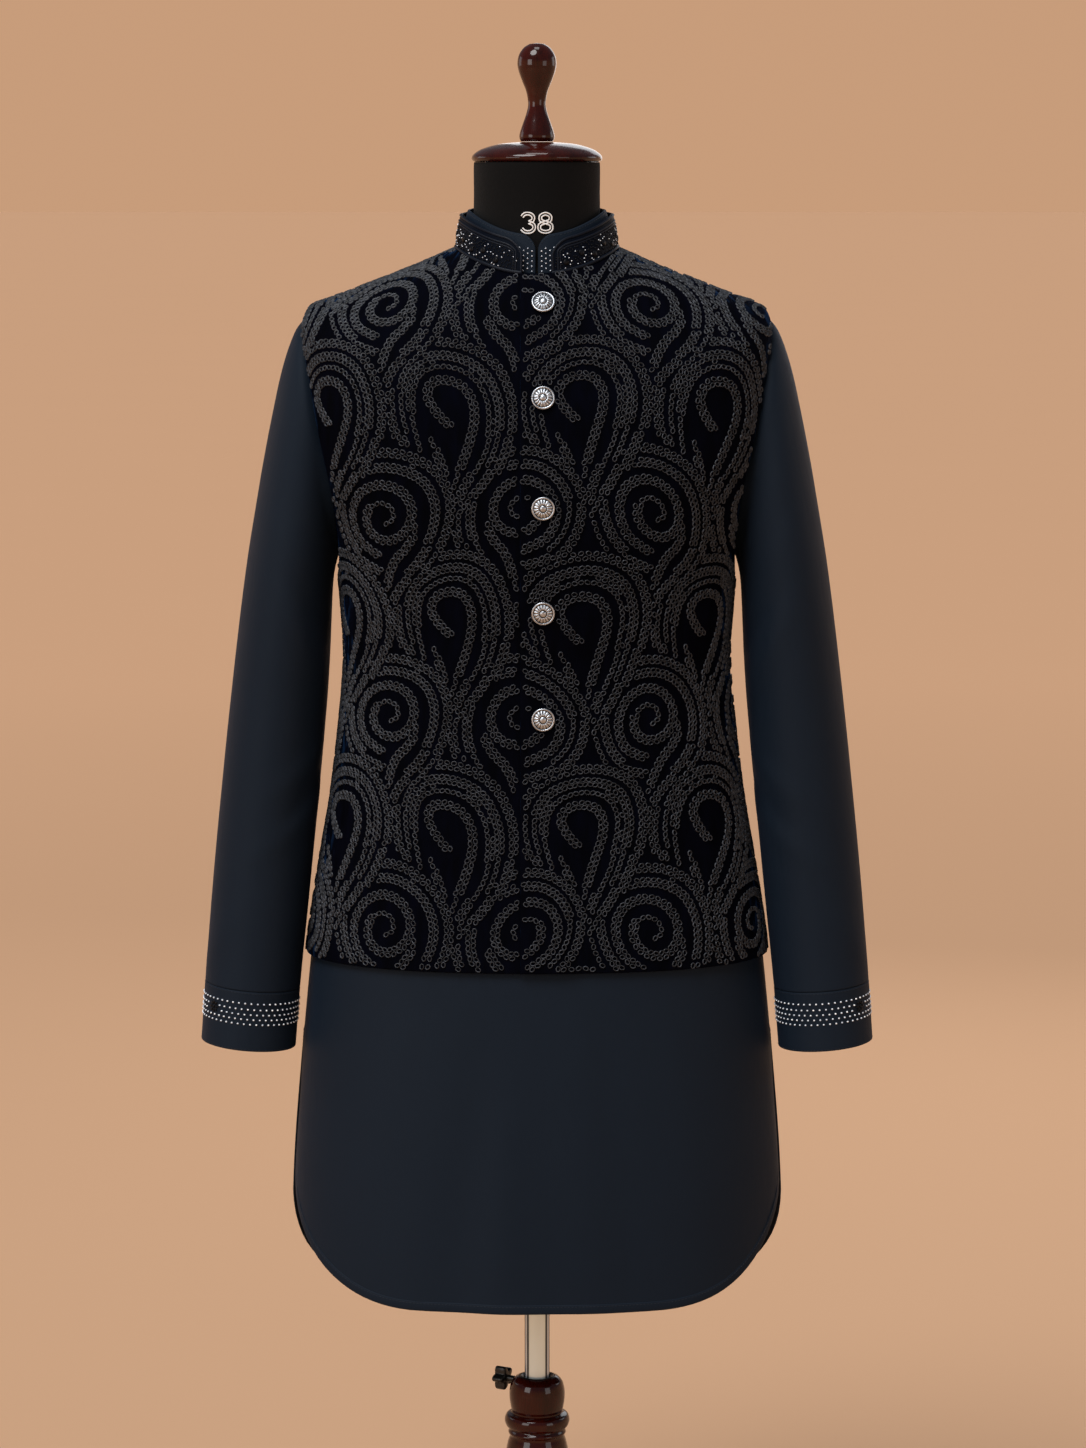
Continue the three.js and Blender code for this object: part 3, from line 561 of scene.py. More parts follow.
@dataclass(frozen=True)
class ThreadCord:
    """Twisted matt thread."""

    name: str
    dark: Colour
    light: Colour
    roughness: float = 0.48
    twist: float = 1300.0

    def material(self) -> bpy.types.Material:
        """The thread's material."""
        shader = Shader(self.name, Sheen_Weight=0.03, Sheen_Roughness=0.5, Specular_IOR_Level=0.3)
        place = shader.place()
        ply = shader.noise(place, self.twist, 1.0)
        each = shader.span(shader.noise(place, self.twist / 5, 1.0), 0.38, 0.64)
        shader.feed("Base Color", shader.mix(ply * 0.35 + each * 0.65, self.dark, self.light))
        shader.feed("Roughness", shader.span(ply, 0.3, 0.7, self.roughness - 0.08, self.roughness + 0.08))
        shader.bump(ply, 0.0003, 0.7)
        return shader.material


@dataclass(frozen=True)
class SatinCloth:
    """Smooth navy satin of the collar's band or, with more gloss, of its piping."""

    name: str = "navy_satin"
    gloss: float = 0.03
    dark: Colour = (0.0014, 0.0026, 0.0058)
    light: Colour = (0.0030, 0.0052, 0.0110)

    def material(self) -> bpy.types.Material:
        """The cloth's material."""
        shader = Shader(
            self.name,
            Sheen_Weight=0.02,
            Sheen_Roughness=0.35,
            Sheen_Tint=(0.5, 0.65, 1.0),
            Specular_IOR_Level=self.gloss,
        )
        place = shader.place()
        grain = shader.streaks(place, (300.0, 300.0, 1400.0))
        shader.feed("Base Color", shader.mix(grain, self.dark, self.light))
        shader.feed("Roughness", shader.span(grain, 0.3, 0.7, 0.42, 0.54))
        shader.bump(grain, 0.00012, 0.5)
        return shader.material


@dataclass(frozen=True)
class BeadGlass:
    """Small faceted beads, silver or smoke coloured."""

    name: str
    dark: Colour
    light: Colour
    metallic: float = 0.85
    roughness: float = 0.24
    gloss: float = 0.7

    def material(self) -> bpy.types.Material:
        """The beads' material."""
        shader = Shader(self.name, Metallic=self.metallic, Specular_IOR_Level=self.gloss)
        place = shader.place()
        each = shader.noise(place, 260.0, 1.0)
        shader.feed("Base Color", shader.mix(shader.span(each, 0.35, 0.65), self.dark, self.light))
        shader.feed("Roughness", shader.span(each, 0.3, 0.7, self.roughness - 0.08, self.roughness + 0.1))
        return shader.material


@dataclass(frozen=True)
class AgedSilver:
    """Cast silver-coloured metal, dark in its hollows and worn bright on its edges."""

    name: str = "aged_silver"
    hollow: Colour = (0.032, 0.034, 0.037)
    worn: Colour = (0.47, 0.50, 0.54)

    def material(self) -> bpy.types.Material:
        """The metal's material."""
        shader = Shader(self.name, Metallic=1.0)
        place = shader.place()
        edge = shader.add("NewGeometry", output="Pointiness")
        worn = shader.span(edge, 0.46, 0.54)
        stain = shader.noise(place, 420.0, 4.0)
        share = shader.span(worn * 0.85 + stain * 0.4, 0.3, 0.85)
        shader.feed("Base Color", shader.mix(share, self.hollow, self.worn))
        shader.feed("Roughness", shader.span(stain, 0.3, 0.7, 0.28, 0.46))
        shader.bump(stain, 0.00008, 0.5)
        return shader.material


@dataclass(frozen=True)
class LacqueredWood:
    """Turned hardwood under red-brown lacquer."""

    name: str = "mahogany_lacquer"
    dark: Colour = (0.0110, 0.0012, 0.0006)
    light: Colour = (0.0500, 0.0048, 0.0018)

    def material(self) -> bpy.types.Material:
        """The wood's material."""
        shader = Shader(self.name, Coat_Weight=0.62, Coat_Roughness=0.035, Specular_IOR_Level=0.05)
        place = shader.place()
        grain = shader.streaks(place, (42.0, 42.0, 5.0), 5.0, 0.6)
        pores = shader.streaks(place, (900.0, 900.0, 60.0))
        share = shader.span(grain * 0.8 + pores * 0.2, 0.34, 0.68)
        shader.feed("Base Color", shader.mix(share, self.dark, self.light))
        shader.feed("Roughness", shader.span(pores, 0.3, 0.7, 0.2, 0.32))
        shader.bump(pores, 0.00005, 0.3)
        return shader.material


@dataclass(frozen=True)
class KnitJersey:
    """Fine black knit stretched over the form."""

    name: str = "black_jersey"
    dark: Colour = (0.0016, 0.0016, 0.0017)
    light: Colour = (0.0036, 0.0036, 0.0038)
    course: float = 0.0010

    def material(self) -> bpy.types.Material:
        """The knit's material."""
        shader = Shader(self.name, Sheen_Weight=0.03, Sheen_Roughness=0.5, Specular_IOR_Level=0.1)
        flat = shader.cloth()
        across, along = (shader.add("SeparateXYZ", None, {0: flat}, output=axis) for axis in (0, 1))
        wale, course = shader.ribs(across, self.course), shader.ribs(along, self.course)
        lint = shader.noise(flat, 220.0, 3.0)
        shader.feed("Base Color", shader.mix(wale * 0.4 + lint * 0.6, self.dark, self.light))
        shader.feed("Roughness", shader.span(lint, 0.3, 0.7, 0.72, 0.86))
        shader.bump(wale * course + lint * 0.4, 0.00015, 0.5)
        return shader.material


@dataclass(frozen=True)
class PolishedChrome:
    """Chromed steel tube, whose mirror is painted into its colour as reflection bands that darken towards its
    edges.
    """

    name: str = "chrome"

    # Painted reflection: how far the surface turns away from the eye, and the reflected colour painted there
    PAINTED_REFLECTION = (
        (0.0, (0.86, 0.99, 1.0)),
        (0.24, (0.86, 0.99, 1.0)),
        (0.30, (0.05, 0.06, 0.07)),
        (0.41, (0.04, 0.05, 0.06)),
        (0.47, (0.66, 0.76, 0.88)),
        (0.60, (0.60, 0.70, 0.84)),
        (0.70, (0.05, 0.06, 0.07)),
        (0.86, (0.02, 0.02, 0.022)),
    )

    def material(self) -> bpy.types.Material:
        """The metal's material."""
        shader = Shader(self.name, Metallic=0.5)
        place = shader.place()
        haze = shader.streaks(place, (60.0, 60.0, 9.0), 4.0)
        facing = shader.add("LayerWeight", None, {"Blend": 0.5}, output="Facing")
        # Painted reflection: the mirror's bright and dark bands, laid into the base colour by the view angle
        painted_reflection = shader.add("ValToRGB", {"stops": self.PAINTED_REFLECTION}, {0: facing})
        shader.feed("Base Color", shader.mix(haze * 0.05, painted_reflection, (0.5, 0.52, 0.55)))
        shader.feed("Roughness", shader.span(haze, 0.3, 0.7, 0.2, 0.28))
        return shader.material


@dataclass(frozen=True)
class MouldedPlastic:
    """Hard plastic with a fine moulded grain."""

    name: str = "black_plastic"
    dark: Colour = (0.0045, 0.0045, 0.0042)
    light: Colour = (0.0105, 0.0105, 0.0100)
    roughness: float = 0.36

    def material(self) -> bpy.types.Material:
        """The plastic's material."""
        shader = Shader(self.name, Specular_IOR_Level=0.5)
        grain = shader.noise(shader.place(), 1600.0, 2.0)
        shader.feed("Base Color", shader.mix(grain, self.dark, self.light))
        shader.feed("Roughness", shader.span(grain, 0.3, 0.7, self.roughness - 0.06, self.roughness + 0.08))
        shader.bump(grain, 0.00006, 0.4)
        return shader.material


@dataclass(frozen=True)
class StudioPaint:
    """Matt pale paper of the studio floor, with painted shade near the stand."""

    name: str = "pale_paper"
    dark: Colour = (0.715, 0.418, 0.245)
    light: Colour = (0.725, 0.424, 0.249)
    # Painted shade: darker paper near the stand, evening out the lamps' brighter light there
    near: Colour = (0.56, 0.335, 0.20)

    def material(self) -> bpy.types.Material:
        """The paper's material."""
        shader = Shader(self.name, Roughness=0.9, Specular_IOR_Level=0.1)
        place = shader.place()
        away = shader.add("VectorMath", {"operation": "LENGTH"}, {0: place}, output="Value")
        paper = shader.mix(shader.noise(place, 0.6, 2.0), self.dark, self.light)
        # Painted shade near the stand, fading to the plain paper between 1 and 9 m away
        shader.feed("Base Color", shader.mix(shader.span(away, 1.0, 9.0), self.near, paper))
        return shader.material


class Finishes:
    """Every material of the part, made once."""

    def __init__(self) -> None:
        """Makes the materials."""
        piping = SatinCloth("piping_satin", 0.14, (0.0018, 0.0034, 0.0075), (0.0040, 0.0072, 0.0150))
        chain = ThreadCord("grey_chain_thread", (0.0018, 0.0023, 0.0032), (0.051, 0.058, 0.072))
        sewing = ThreadCord("navy_sewing_thread", (0.008, 0.011, 0.019), (0.016, 0.021, 0.034))
        silver_bead = BeadGlass("silver_beads", (0.60, 0.67, 0.78), (0.90, 0.95, 1.0), 0.05, 0.2)
        smoke = (0.0010, 0.0012, 0.0018), (0.0040, 0.0047, 0.0068)
        number = MouldedPlastic("white_print", (0.74, 0.74, 0.73), (0.86, 0.86, 0.85), 0.5)
        self.twill = TwillCloth().material()
        self.velvet = VelvetCloth().material()
        self.satin = SatinCloth().material()
        self.piping = piping.material()
        self.chain = chain.material()
        self.sewing = sewing.material()
        self.silver_bead = silver_bead.material()
        self.smoke_bead = BeadGlass("smoke_beads", *smoke, 0.0, 0.36, 0.12).material()
        self.silver = AgedSilver().material()
        self.wood = LacqueredWood().material()
        self.jersey = KnitJersey().material()
        self.chrome = PolishedChrome().material()
        self.plastic = MouldedPlastic().material()
        self.print = number.material()


# The body that the garments follow


@dataclass(frozen=True)
class Crease:
    """A soft fold between two places: a ridge, or a trough where its height is negative.

    Places are in degrees round the body or sleeve and in millimetres up it.
    """

    turn_from: float
    up_from: float
    turn_to: float
    up_to: float
    width: float
    height: float


def crease_lift(creases: Sequence[Crease], turn: Array, up: Array, degree: float) -> Array:
    """How far creases raise the cloth.

    Args:
        creases: The creases.
        turn: Places round, in degrees.
        up: Heights in millimetres.
        degree: Millimetres of cloth to a degree.

    Returns:
        Heights over the plain surface, in millimetres.
    """
    lift = np.zeros(np.broadcast(turn, up).shape)
    for crease in creases:
        across = (turn - crease.turn_from) * degree
        rise = up - crease.up_from
        run = np.array([(crease.turn_to - crease.turn_from) * degree, crease.up_to - crease.up_from])
        length = float(np.linalg.norm(run))
        along = (across * run[0] + rise * run[1]) / length**2
        aside = (across * run[1] - rise * run[0]) / length
        past = np.maximum(np.maximum(-along, along - 1), 0) * length / (1.6 * crease.width)
        fullness = 1 - 0.35 * np.clip(2 * along - 1, -1, 1) ** 2
        lift += crease.height * fullness * np.exp(-((aside / crease.width) ** 2) - past**2)
    return lift


def solve(read: Callable[[Array], Array], value: Array, low: float, high: float) -> Array:
    """Where a rising function reaches each value, by halving."""
    value = np.asarray(value, float)
    a, b = np.full(value.shape, low), np.full(value.shape, high)
    for _ in range(42):
        middle = (a + b) / 2
        under = read(middle) < value
        a, b = np.where(under, middle, a), np.where(under, b, middle)
    return (a + b) / 2


class Block:
    """The kurta's outer face as rings from the back hem to the neckline.

    An angle is 0 at the wearer's left side and -90 degrees at the centre front. Each ring has a side
    point (x, z), a front point (y, z), a back point (y, z) and the power of its superellipse.
    """

    RINGS: Mapping[str, tuple[float, ...]] = {
        "back hem": (237.5, 422, 151, 422, 148, 422, 2.2),
        "front hem": (237, 467, 149.5, 467, 147, 467, 2.2),
        "low skirt": (236, 530, 148, 530, 145, 530, 2.2),
        "skirt": (232, 610, 144, 610, 142.5, 610, 2.22),
        "slit top": (222, 720, 136, 720, 138, 720, 2.25),
        "hip": (213, 805, 129, 805, 134, 805, 2.28),
        "high hip": (201.6, 876, 122.5, 876, 127, 876, 2.3),
        "belly": (189.2, 950, 117.5, 950, 115, 950, 2.3),
        "waist": (178.2, 1055, 117, 1055, 102, 1055, 2.3),
        "ribs": (179.8, 1115, 123.5, 1115, 106, 1115, 2.32),
        "armpit": (185.7, 1165, 129.5, 1165, 112, 1165, 2.35),
        "low armhole": (199, 1222, 133, 1198, 118, 1208, 2.38),
        "mid armhole": (213, 1285, 134, 1232, 121, 1255, 2.4),
        "high armhole": (217, 1345, 132, 1268, 120, 1300, 2.4),
        "shoulder tip": (213, 1390, 126.5, 1308, 115, 1345, 2.35),
        "shoulder": (166, 1412.5, 115, 1350, 104, 1388, 2.25),
        "yoke": (116, 1432, 97, 1390, 88, 1428, 2.15),
        "neckline": (71.5, 1451, 71, 1428, 69.5, 1458, 2.05),
    }
    RIDGE_POWER = 1.9
    STEP = 0.004

    def __init__(self) -> None:
        """Prepares the tables that are searched often."""
        self._rows = np.array(list(self.RINGS.values()), float)
        self.neckline = float(len(self._rows) - 1)
        self.tip = self.ring("shoulder tip")
        self._fine = np.linspace(0, self.neckline, 6001)
        self._fine_side_z = hermite(self._rows, self._fine)[:, 1]

    def ring(self, name: str) -> float:
        """The number of a named ring."""
        return float(list(self.RINGS).index(name))

    def side(self, ring: Array) -> tuple[Array, Array]:
        """The x and z of each ring's side point."""
        row = hermite(self._rows, ring)
        return row[..., 0], row[..., 1]

    def point(self, angle: Array, ring: Array) -> Array:
        """Points of the surface."""
        angle, ring = np.broadcast_arrays(np.asarray(angle, float), np.asarray(ring, float))
        row = np.moveaxis(hermite(self._rows, ring), -1, 0)
        side_x, side_z, front_y, front_z, back_y, back_z, square = row
        cosine, sine = np.cos(angle), np.sin(angle)
        depth = np.where(sine < 0, front_y, back_y)
        end_z = np.where(sine < 0, front_z, back_z)
        radius = (np.abs(cosine / side_x) ** square + np.abs(sine / depth) ** square) ** (-1 / square)
        y = radius * sine
        z = side_z + (end_z - side_z) * (np.abs(y) / depth) ** self.RIDGE_POWER
        return np.stack([radius * cosine, y, z], -1)

    def normal(self, angle: Array, ring: Array) -> Array:
        """Outward directions of the surface."""
        low = np.maximum(ring - self.STEP, 0)
        high = np.minimum(ring + self.STEP, self.neckline)
        along = self.point(angle + self.STEP, ring) - self.point(angle - self.STEP, ring)
        return unit(np.cross(along, self.point(angle, high) - self.point(angle, low)))

    def ring_at_side_z(self, z: Array | float) -> Array:
        """Rings whose side points have these heights."""
        return np.interp(z, self._fine_side_z, self._fine)

    def angle_at_x(self, x: Array | float, ring: Array) -> Array:
        """Angles of a ring's front half at these x."""
        x, ring = np.broadcast_arrays(np.asarray(x, float), np.asarray(ring, float))
        return solve(lambda a: self.point(a, ring)[..., 0], x, -math.pi + 1e-6, -1e-6)

    def angle_at_y(self, y: Array | float, ring: Array) -> Array:
        """Angles of a ring's left half at these y."""
        y, ring = np.broadcast_arrays(np.asarray(y, float), np.asarray(ring, float))
        return solve(lambda a: self.point(a, ring)[..., 1], y, -math.pi / 2, math.pi / 2)

    def spread(
        self, start: Array, end: Array, ring: Array, spacing: Callable[[float], Array]
    ) -> tuple[Array, Array]:
        """Angles spaced along a stretch of each ring.

        Args:
            start: First angle of each stretch.
            end: Last angle of each stretch.
            ring: The rings.
            spacing: Gives the distances of the columns for a stretch's length.

        Returns:
            Angles and their distances from the stretch's start, one row per ring.
        """
        share = np.linspace(0, 1, 241)
        angles = start[:, None] + (end - start)[:, None] * share
        points = self.point(angles, ring[:, None])
        legs = np.linalg.norm(np.diff(points, axis=1), axis=-1)
        along = np.concatenate([np.zeros((len(ring), 1)), np.cumsum(legs, 1)], 1)
        places = np.stack([spacing(length) for length in along[:, -1]])
        spread = np.stack([np.interp(p, a, b) for p, a, b in zip(places, along, angles)])
        return spread, places


def edged(length: float, columns: int) -> Array:
    """Distances across a panel: close together at both edges and even between them."""
    near = np.array(EDGE_STEPS) * min(1.0, length / 60)
    middle = np.linspace(near[-1], length - near[-1], columns - 2 * len(near) + 2)
    return np.concatenate([near[:-1], middle, (length - near[:-1])[::-1]])


@dataclass(frozen=True)
class Armhole:
    """An armhole: its lowest and highest side points, and its reach to front and back."""

    bottom_z: float
    top_z: float
    front: float
    back: float

    def depth(self, sign: int) -> float:
        """Its reach on the front (-1) or the back (+1)."""
        return self.front if sign < 0 else self.back

    def side_z(self, share: Array) -> Array:
        """Heights of side points on its way from bottom to top."""
        return (self.bottom_z + self.top_z) / 2 - (self.top_z - self.bottom_z) / 2 * np.cos(math.pi * share)

    def limit(self, side_z: Array, sign: int) -> Array:
        """How far in y the cloth's edge lies from the side line at a ring's side height."""
        middle, half = (self.bottom_z + self.top_z) / 2, (self.top_z - self.bottom_z) / 2
        share = np.arccos(np.clip((middle - side_z) / half, -1, 1)) / math.pi
        return self.depth(sign) * np.sin(math.pi * share)


@dataclass
class Rows:
    """The rings that a panel's rows follow, its armhole cut on each, and their side heights."""

    ring: Array
    cut: Array
    side_z: Array

    @classmethod
    def up(cls, block: Block, straight: Array, armhole: Armhole, top_ring: float, arm_rows: int = 40) -> Rows:
        """Rows from a hem through the armhole to the neck.

        Args:
            block: The body's surface.
            straight: Side heights of the rows below the armhole.
            armhole: The armhole.
            top_ring: The ring of the neck edge.
            arm_rows: Count of rows through the armhole.

        Returns:
            The rows.
        """
        share = np.arange(1, arm_rows) / arm_rows
        low = block.ring_at_side_z(np.append(straight, armhole.bottom_z))
        arm = block.ring_at_side_z(armhole.side_z(share))
        tip = float(block.ring_at_side_z(armhole.top_z))
        near_top = top_ring - np.array([0.035, 0.018, 0.007, 0.0])
        yoke = np.concatenate([np.linspace(tip, top_ring - 0.06, 30), near_top])
        ring = np.concatenate([low, arm, yoke])
        cut = np.concatenate([np.zeros(len(low)), np.sin(math.pi * share), np.zeros(len(yoke))])
        return cls(ring, cut, block.side(ring)[1])


@dataclass
class Panel:
    """A panel's grid on the body, with distances to its edges and along it."""

    angle: Array
    ring: Array
    place: Array
    length: Array
    up: Array

    @classmethod
    def on(cls, block: Block, rows: Rows, start: Array, end: Array, columns: int) -> Panel:
        """A panel between a first and last angle on each row."""
        angle, place = block.spread(start, end, rows.ring, lambda length: edged(length, columns))
        ring = np.broadcast_to(rows.ring[:, None], angle.shape)
        line = block.point(angle[:, columns // 2], rows.ring)
        return cls(angle, ring, place, place[:, -1:], lengths_along(line)[:, None])

    def rim(self) -> Array:
        """Distance of each point from the nearest edge."""
        across = np.minimum(self.place, self.length - self.place)
        along = np.minimum(self.up, self.up[-1] - self.up)
        return np.minimum(across, along)

    def flat(self, zero: Array | None = None) -> Array:
        """Flat coordinates of the cloth, from a place in each row and the hem."""
        zero = self.length / 2 if zero is None else zero
        return np.stack([self.place - zero, np.broadcast_to(self.up, self.place.shape)], -1)


@dataclass(frozen=True)
class Face:
    """Where the outer face of a piece of cloth lies: a distance out from the block."""

    block: Block
    lift: Callable[[Array, Array], Array]

    def point(self, angle: Array, ring: Array, out: Array | float = 0.0) -> Array:
        """Points at a distance out from the face."""
        distance = self.lift(angle, ring) + out
        return self.block.point(angle, ring) + self.block.normal(angle, ring) * distance[..., None]

    def shell(self, panel: Panel, cloth: float, zero: Array | None = None) -> Shell:
        """The cloth of a panel as a thin wall with rolled edges."""
        thin = drawn_in(panel.rim(), cloth)
        outer, inner = (self.point(panel.angle, panel.ring, out) for out in (-thin, thin - cloth))
        return Shell(outer, inner, panel.flat(zero))


# The kurta


@dataclass
class StandCollar:
    """A standing collar's outer face over its foot line on a ring of the block."""

    block: Block
    ring: float
    height: float
    lean: float
    end_x: float
    corner: float
    cloth: float
    seat: Callable[[Array, Array], Array]
    seam: float = 0.75
    belly: float = 0.9
    stations: int = 800

    def __post_init__(self) -> None:
        """Lays out the foot line, from the wearer's left end round the back to the right end."""
        ring = np.array(self.ring)
        start = float(self.block.angle_at_x(self.end_x, ring))
        angles = np.linspace(start, math.pi - start, 2 * self.stations)
        along = lengths_along(self.block.point(angles, ring))
        self.length = float(along[-1])
        even = np.interp(np.linspace(0, self.length, self.stations), along, angles)
        rings = np.full(even.shape, self.ring)
        seat = self.seat(even, rings)[:, None]
        self._foot = self.block.point(even, rings) + self.block.normal(even, rings) * seat
        self._outward = unit(self._foot * [1, 1, 0])

    def top(self, place: Array) -> Array:
        """Height of the collar at a distance along it."""
        from_end = np.minimum(place, self.length - place)
        t = np.clip((self.corner - from_end) / self.corner, 0, 1)
        return self.height - self.corner * (1 - np.sqrt(1 - t * t))

    def point(self, place: Array, rise: Array, out: Array | float = 0.0) -> Array:
        """Points of the outer face at distances along and up it, moved outward."""
        place, rise = np.broadcast_arrays(np.asarray(place, float), np.asarray(rise, float))
        at = place / self.length * (len(self._foot) - 1)
        foot, outward = hermite(self._foot, at), hermite(self._outward, at)
        belly = self.belly * np.sin(math.pi * np.clip(rise / self.height, 0, 1))
        lean = self.lean * rise / self.height
        points = foot + outward * (out + belly - lean)[..., None]
        points[..., 2] = foot[..., 2] + self.seam + rise
        return points

    def axes(self, place: Array, rise: Array) -> Array:
        """Matrices of the directions along, up and out at places of the face."""
        along = self.point(place + 0.5, rise) - self.point(place - 0.5, rise)
        up = self.point(place, rise + 0.5) - self.point(place, rise - 0.5)
        return frames_of(np.cross(along, up), up)

    def shell(self, columns: int = 220, rows: int = 18) -> Shell:
        """The collar as a thin wall."""
        place = edged(self.length, columns)[None]
        share = edged(self.height, rows)[:, None] / self.height
        rise = share * self.top(place)
        rim = np.minimum(np.minimum(place, self.length - place), np.minimum(rise, self.top(place) - rise))
        thin = drawn_in(rim, self.cloth)
        flat = np.stack(np.broadcast_arrays(place, rise), -1)
        return Shell(self.point(place, rise, -thin), self.point(place, rise, thin - self.cloth), flat)

    def line(self, inset: float, step: float = 2.0) -> Array:
        """Places and rises of a line that runs inside the collar's open edge at a distance from it."""
        end = self.length - inset
        place = np.concatenate([[inset] * 2, np.arange(inset, end, 1.0), [end] * 2])
        top = np.maximum(self.top(place) - inset, 1.0)
        top[0] = top[-1] = 1.0
        line = np.stack([place, top], 1)
        along = lengths_along(line)
        return read_along(line, along, np.linspace(0, along[-1], int(along[-1] / step) + 1))


def stitches(
    points: Array, normals: Array, pitch: float = 3.4, length: float = 2.5, width: float = 0.55
) -> Heap:
    """A row of small sewn stitches along a line.

    Args:
        points: The line.
        normals: Outward directions at its points.
        pitch: Distance from stitch to stitch.
        length: Length of a stitch.
        width: Width of the thread.

    Returns:
        The stitches.
    """
    along = lengths_along(points)
    places = np.arange(pitch / 2, along[-1], pitch)
    lines = (points, normals, np.gradient(points, axis=0))
    centre, out, tangent = (read_along(line, along, places) for line in lines)
    heap = Heap()
    heap.stamp(*dome(width, length, width * 0.55), centre, frames_of(out, tangent))
    return heap


@dataclass
class Kurta:
    """The long shirt: two panels, a placket, a collar, two sleeves and two cuffs."""

    block: Block
    finishes: Finishes
    cloth: float = 1.2
    collar_cloth: float = 1.8
    cuff_cloth: float = 1.8
    front_hem_z: float = 467
    back_hem_z: float = 422
    slit_top_z: float = 720
    slit_half_width: float = 5
    hem_corner: float = 135
    hem_corner_power: float = 2.5
    front_tuck: float = 2.5
    front_tuck_reach: float = 45
    hem_width: float = 8.5
    placket_half_width: float = 16
    placket_cloth: float = 1.1
    placket_bottom_z: float = 1125
    armhole: Armhole = Armhole(1165, 1390, 60, 58)
    covered_z: float = 775
    cuff_depth: float = 57
    cuff_bead_rows: int = 5
    cuff_bead_columns: int = 50
    cuff_stitches: int = 88
    rosette_reach: float = 7.6
    petals: int = 8
    rosette_column: int = 20
    body_columns: int = 96
    sleeve_columns: int = 72

    # Heights over the hem of its closest rows
    NEAR_HEM = (0, 0.3, 0.9, 1.8, 3.2, 5, 7.5, 10.5, 14, 18, 23, 29, 36, 44, 53, 63, 74, 86, 99, 113, 127)
    CREASES = (
        Crease(-118, 470, -112, 700, 20, -1.5),
        Crease(-104, 480, -101, 640, 17, 1.1),
        Crease(-72, 475, -76, 690, 22, 1.3),
        Crease(-58, 500, -64, 735, 15, -1.2),
        Crease(-38, 560, -44, 740, 14, 0.9),
        Crease(-146, 540, -138, 730, 16, 1.0),
        Crease(62, 440, 70, 700, 21, 1.6),
        Crease(84, 430, 82, 660, 18, -1.4),
        Crease(103, 450, 98, 730, 22, 1.3),
        Crease(128, 440, 121, 690, 18, -1.3),
        Crease(148, 520, 140, 720, 15, 0.9),
    )
    SLEEVE_CREASES = (
        Crease(18, 300, 74, 338, 11, 1.3),
        Crease(8, 322, 60, 366, 9, -1.4),
        Crease(14, 352, 92, 402, 13, 1.1),
        Crease(330, 312, 282, 352, 12, 1.2),
        Crease(344, 344, 276, 388, 11, -1.3),
        Crease(20, 196, 62, 150, 12, -1.2),
        Crease(36, 226, 84, 168, 13, 1.2),
        Crease(318, 210, 284, 152, 13, 1.1),
        Crease(120, 470, 168, 520, 14, 0.8),
        Crease(232, 440, 196, 500, 15, -0.8),
        Crease(60, 560, 110, 540, 12, -0.7),
    )
    # Outer x and z, inner x and z, half depth, and how far forward each section lies
    SLEEVE = (
        (226.5, 1375, 187.6, 1163, 65, 0),
        (238.5, 1342, 188.6, 1160, 69, 0),
        (248.6, 1298, 189.6, 1156, 72, 0),
        (257.6, 1253, 190.8, 1151, 73.5, 0),
        (264.6, 1213, 192, 1144, 74, 1),
        (272.2, 1168, 193.2, 1130, 73, 2),
        (278.2, 1126, 194.4, 1104, 71.5, 3),
        (283.8, 1082, 196, 1068, 69, 4),
        (288.8, 1040, 198.6, 1029, 66, 5),
        (293.9, 995, 202.6, 985, 63, 7),
        (299.1, 945, 207, 936, 59.5, 10),
        (304.2, 895, 212, 887, 56.5, 13),
        (308.8, 845, 217, 837, 54, 16),
        (313.4, 790, 222.8, 782, 51, 20),
        (315.6, 761.5, 225.6, 753.5, 50, 22),
    )
    CUFF = (
        (315.7, 761.2, 225.6, 753.2, 50, 22),
        (317.1, 742, 227.1, 734, 49.4, 23),
        (318.3, 724, 228.5, 716, 48.8, 24.5),
        (319.6, 705, 230, 697, 48.2, 26),
    )

    def build(self) -> None:
        """Builds every piece of the kurta."""
        for sign in (-1, 1):
            self._panel(sign)
        self._placket()
        self._collar()
        for hand in Hand:
            self._sleeve(hand)
            self._cuff(hand)

    def _place(self, piece: Piece, finish: bpy.types.Material, *nodes: str) -> Piece:
        """Rides a piece on the form."""
        return place_piece(piece, Body.FORM, finish, nodes)

    def _rows(self, hem_z: float) -> Rows:
        """The rows of a body panel."""
        near = hem_z + np.array(self.NEAR_HEM)
        first = hem_z + self.hem_corner + 6
        straight = np.linspace(first, self.armhole.bottom_z, int((self.armhole.bottom_z - first) / 11))[:-1]
        return Rows.up(self.block, np.concatenate([near, straight]), self.armhole, self.block.neckline)

    def _side_angle(self, rows: Rows, sign: int, hem_z: float) -> Array:
        """How far from the side line each row ends: at its seam, slit, armhole or hem corner."""
        open_share = smoothstep(0, 110, self.slit_top_z - rows.side_z)
        half = SEAM_GAP / 2 + (self.slit_half_width - SEAM_GAP / 2) * open_share
        y = np.where(rows.cut > 0, np.maximum(self.armhole.depth(sign) * rows.cut, SEAM_GAP / 2), half)
        edge = np.abs(self.block.angle_at_y(sign * y, rows.ring))
        share = np.clip((self.hem_corner - (rows.side_z - hem_z)) / self.hem_corner, 0, 1)
        power = self.hem_corner_power
        side_x = self.block.side(rows.ring)[0]
        x = side_x - self.hem_corner * (1 - (1 - share**power) ** (1 / power))
        corner = solve(lambda a: -self.block.point(sign * a, rows.ring)[..., 0], -x, 0, math.pi / 2)
        return np.where(rows.side_z > hem_z + self.hem_corner, edge, np.maximum(edge, corner))

    def _lift(self, sign: int) -> Callable[[Array, Array], Array]:
        """How far the front's or back's face lies from the block: its soft folds and the front's tuck."""

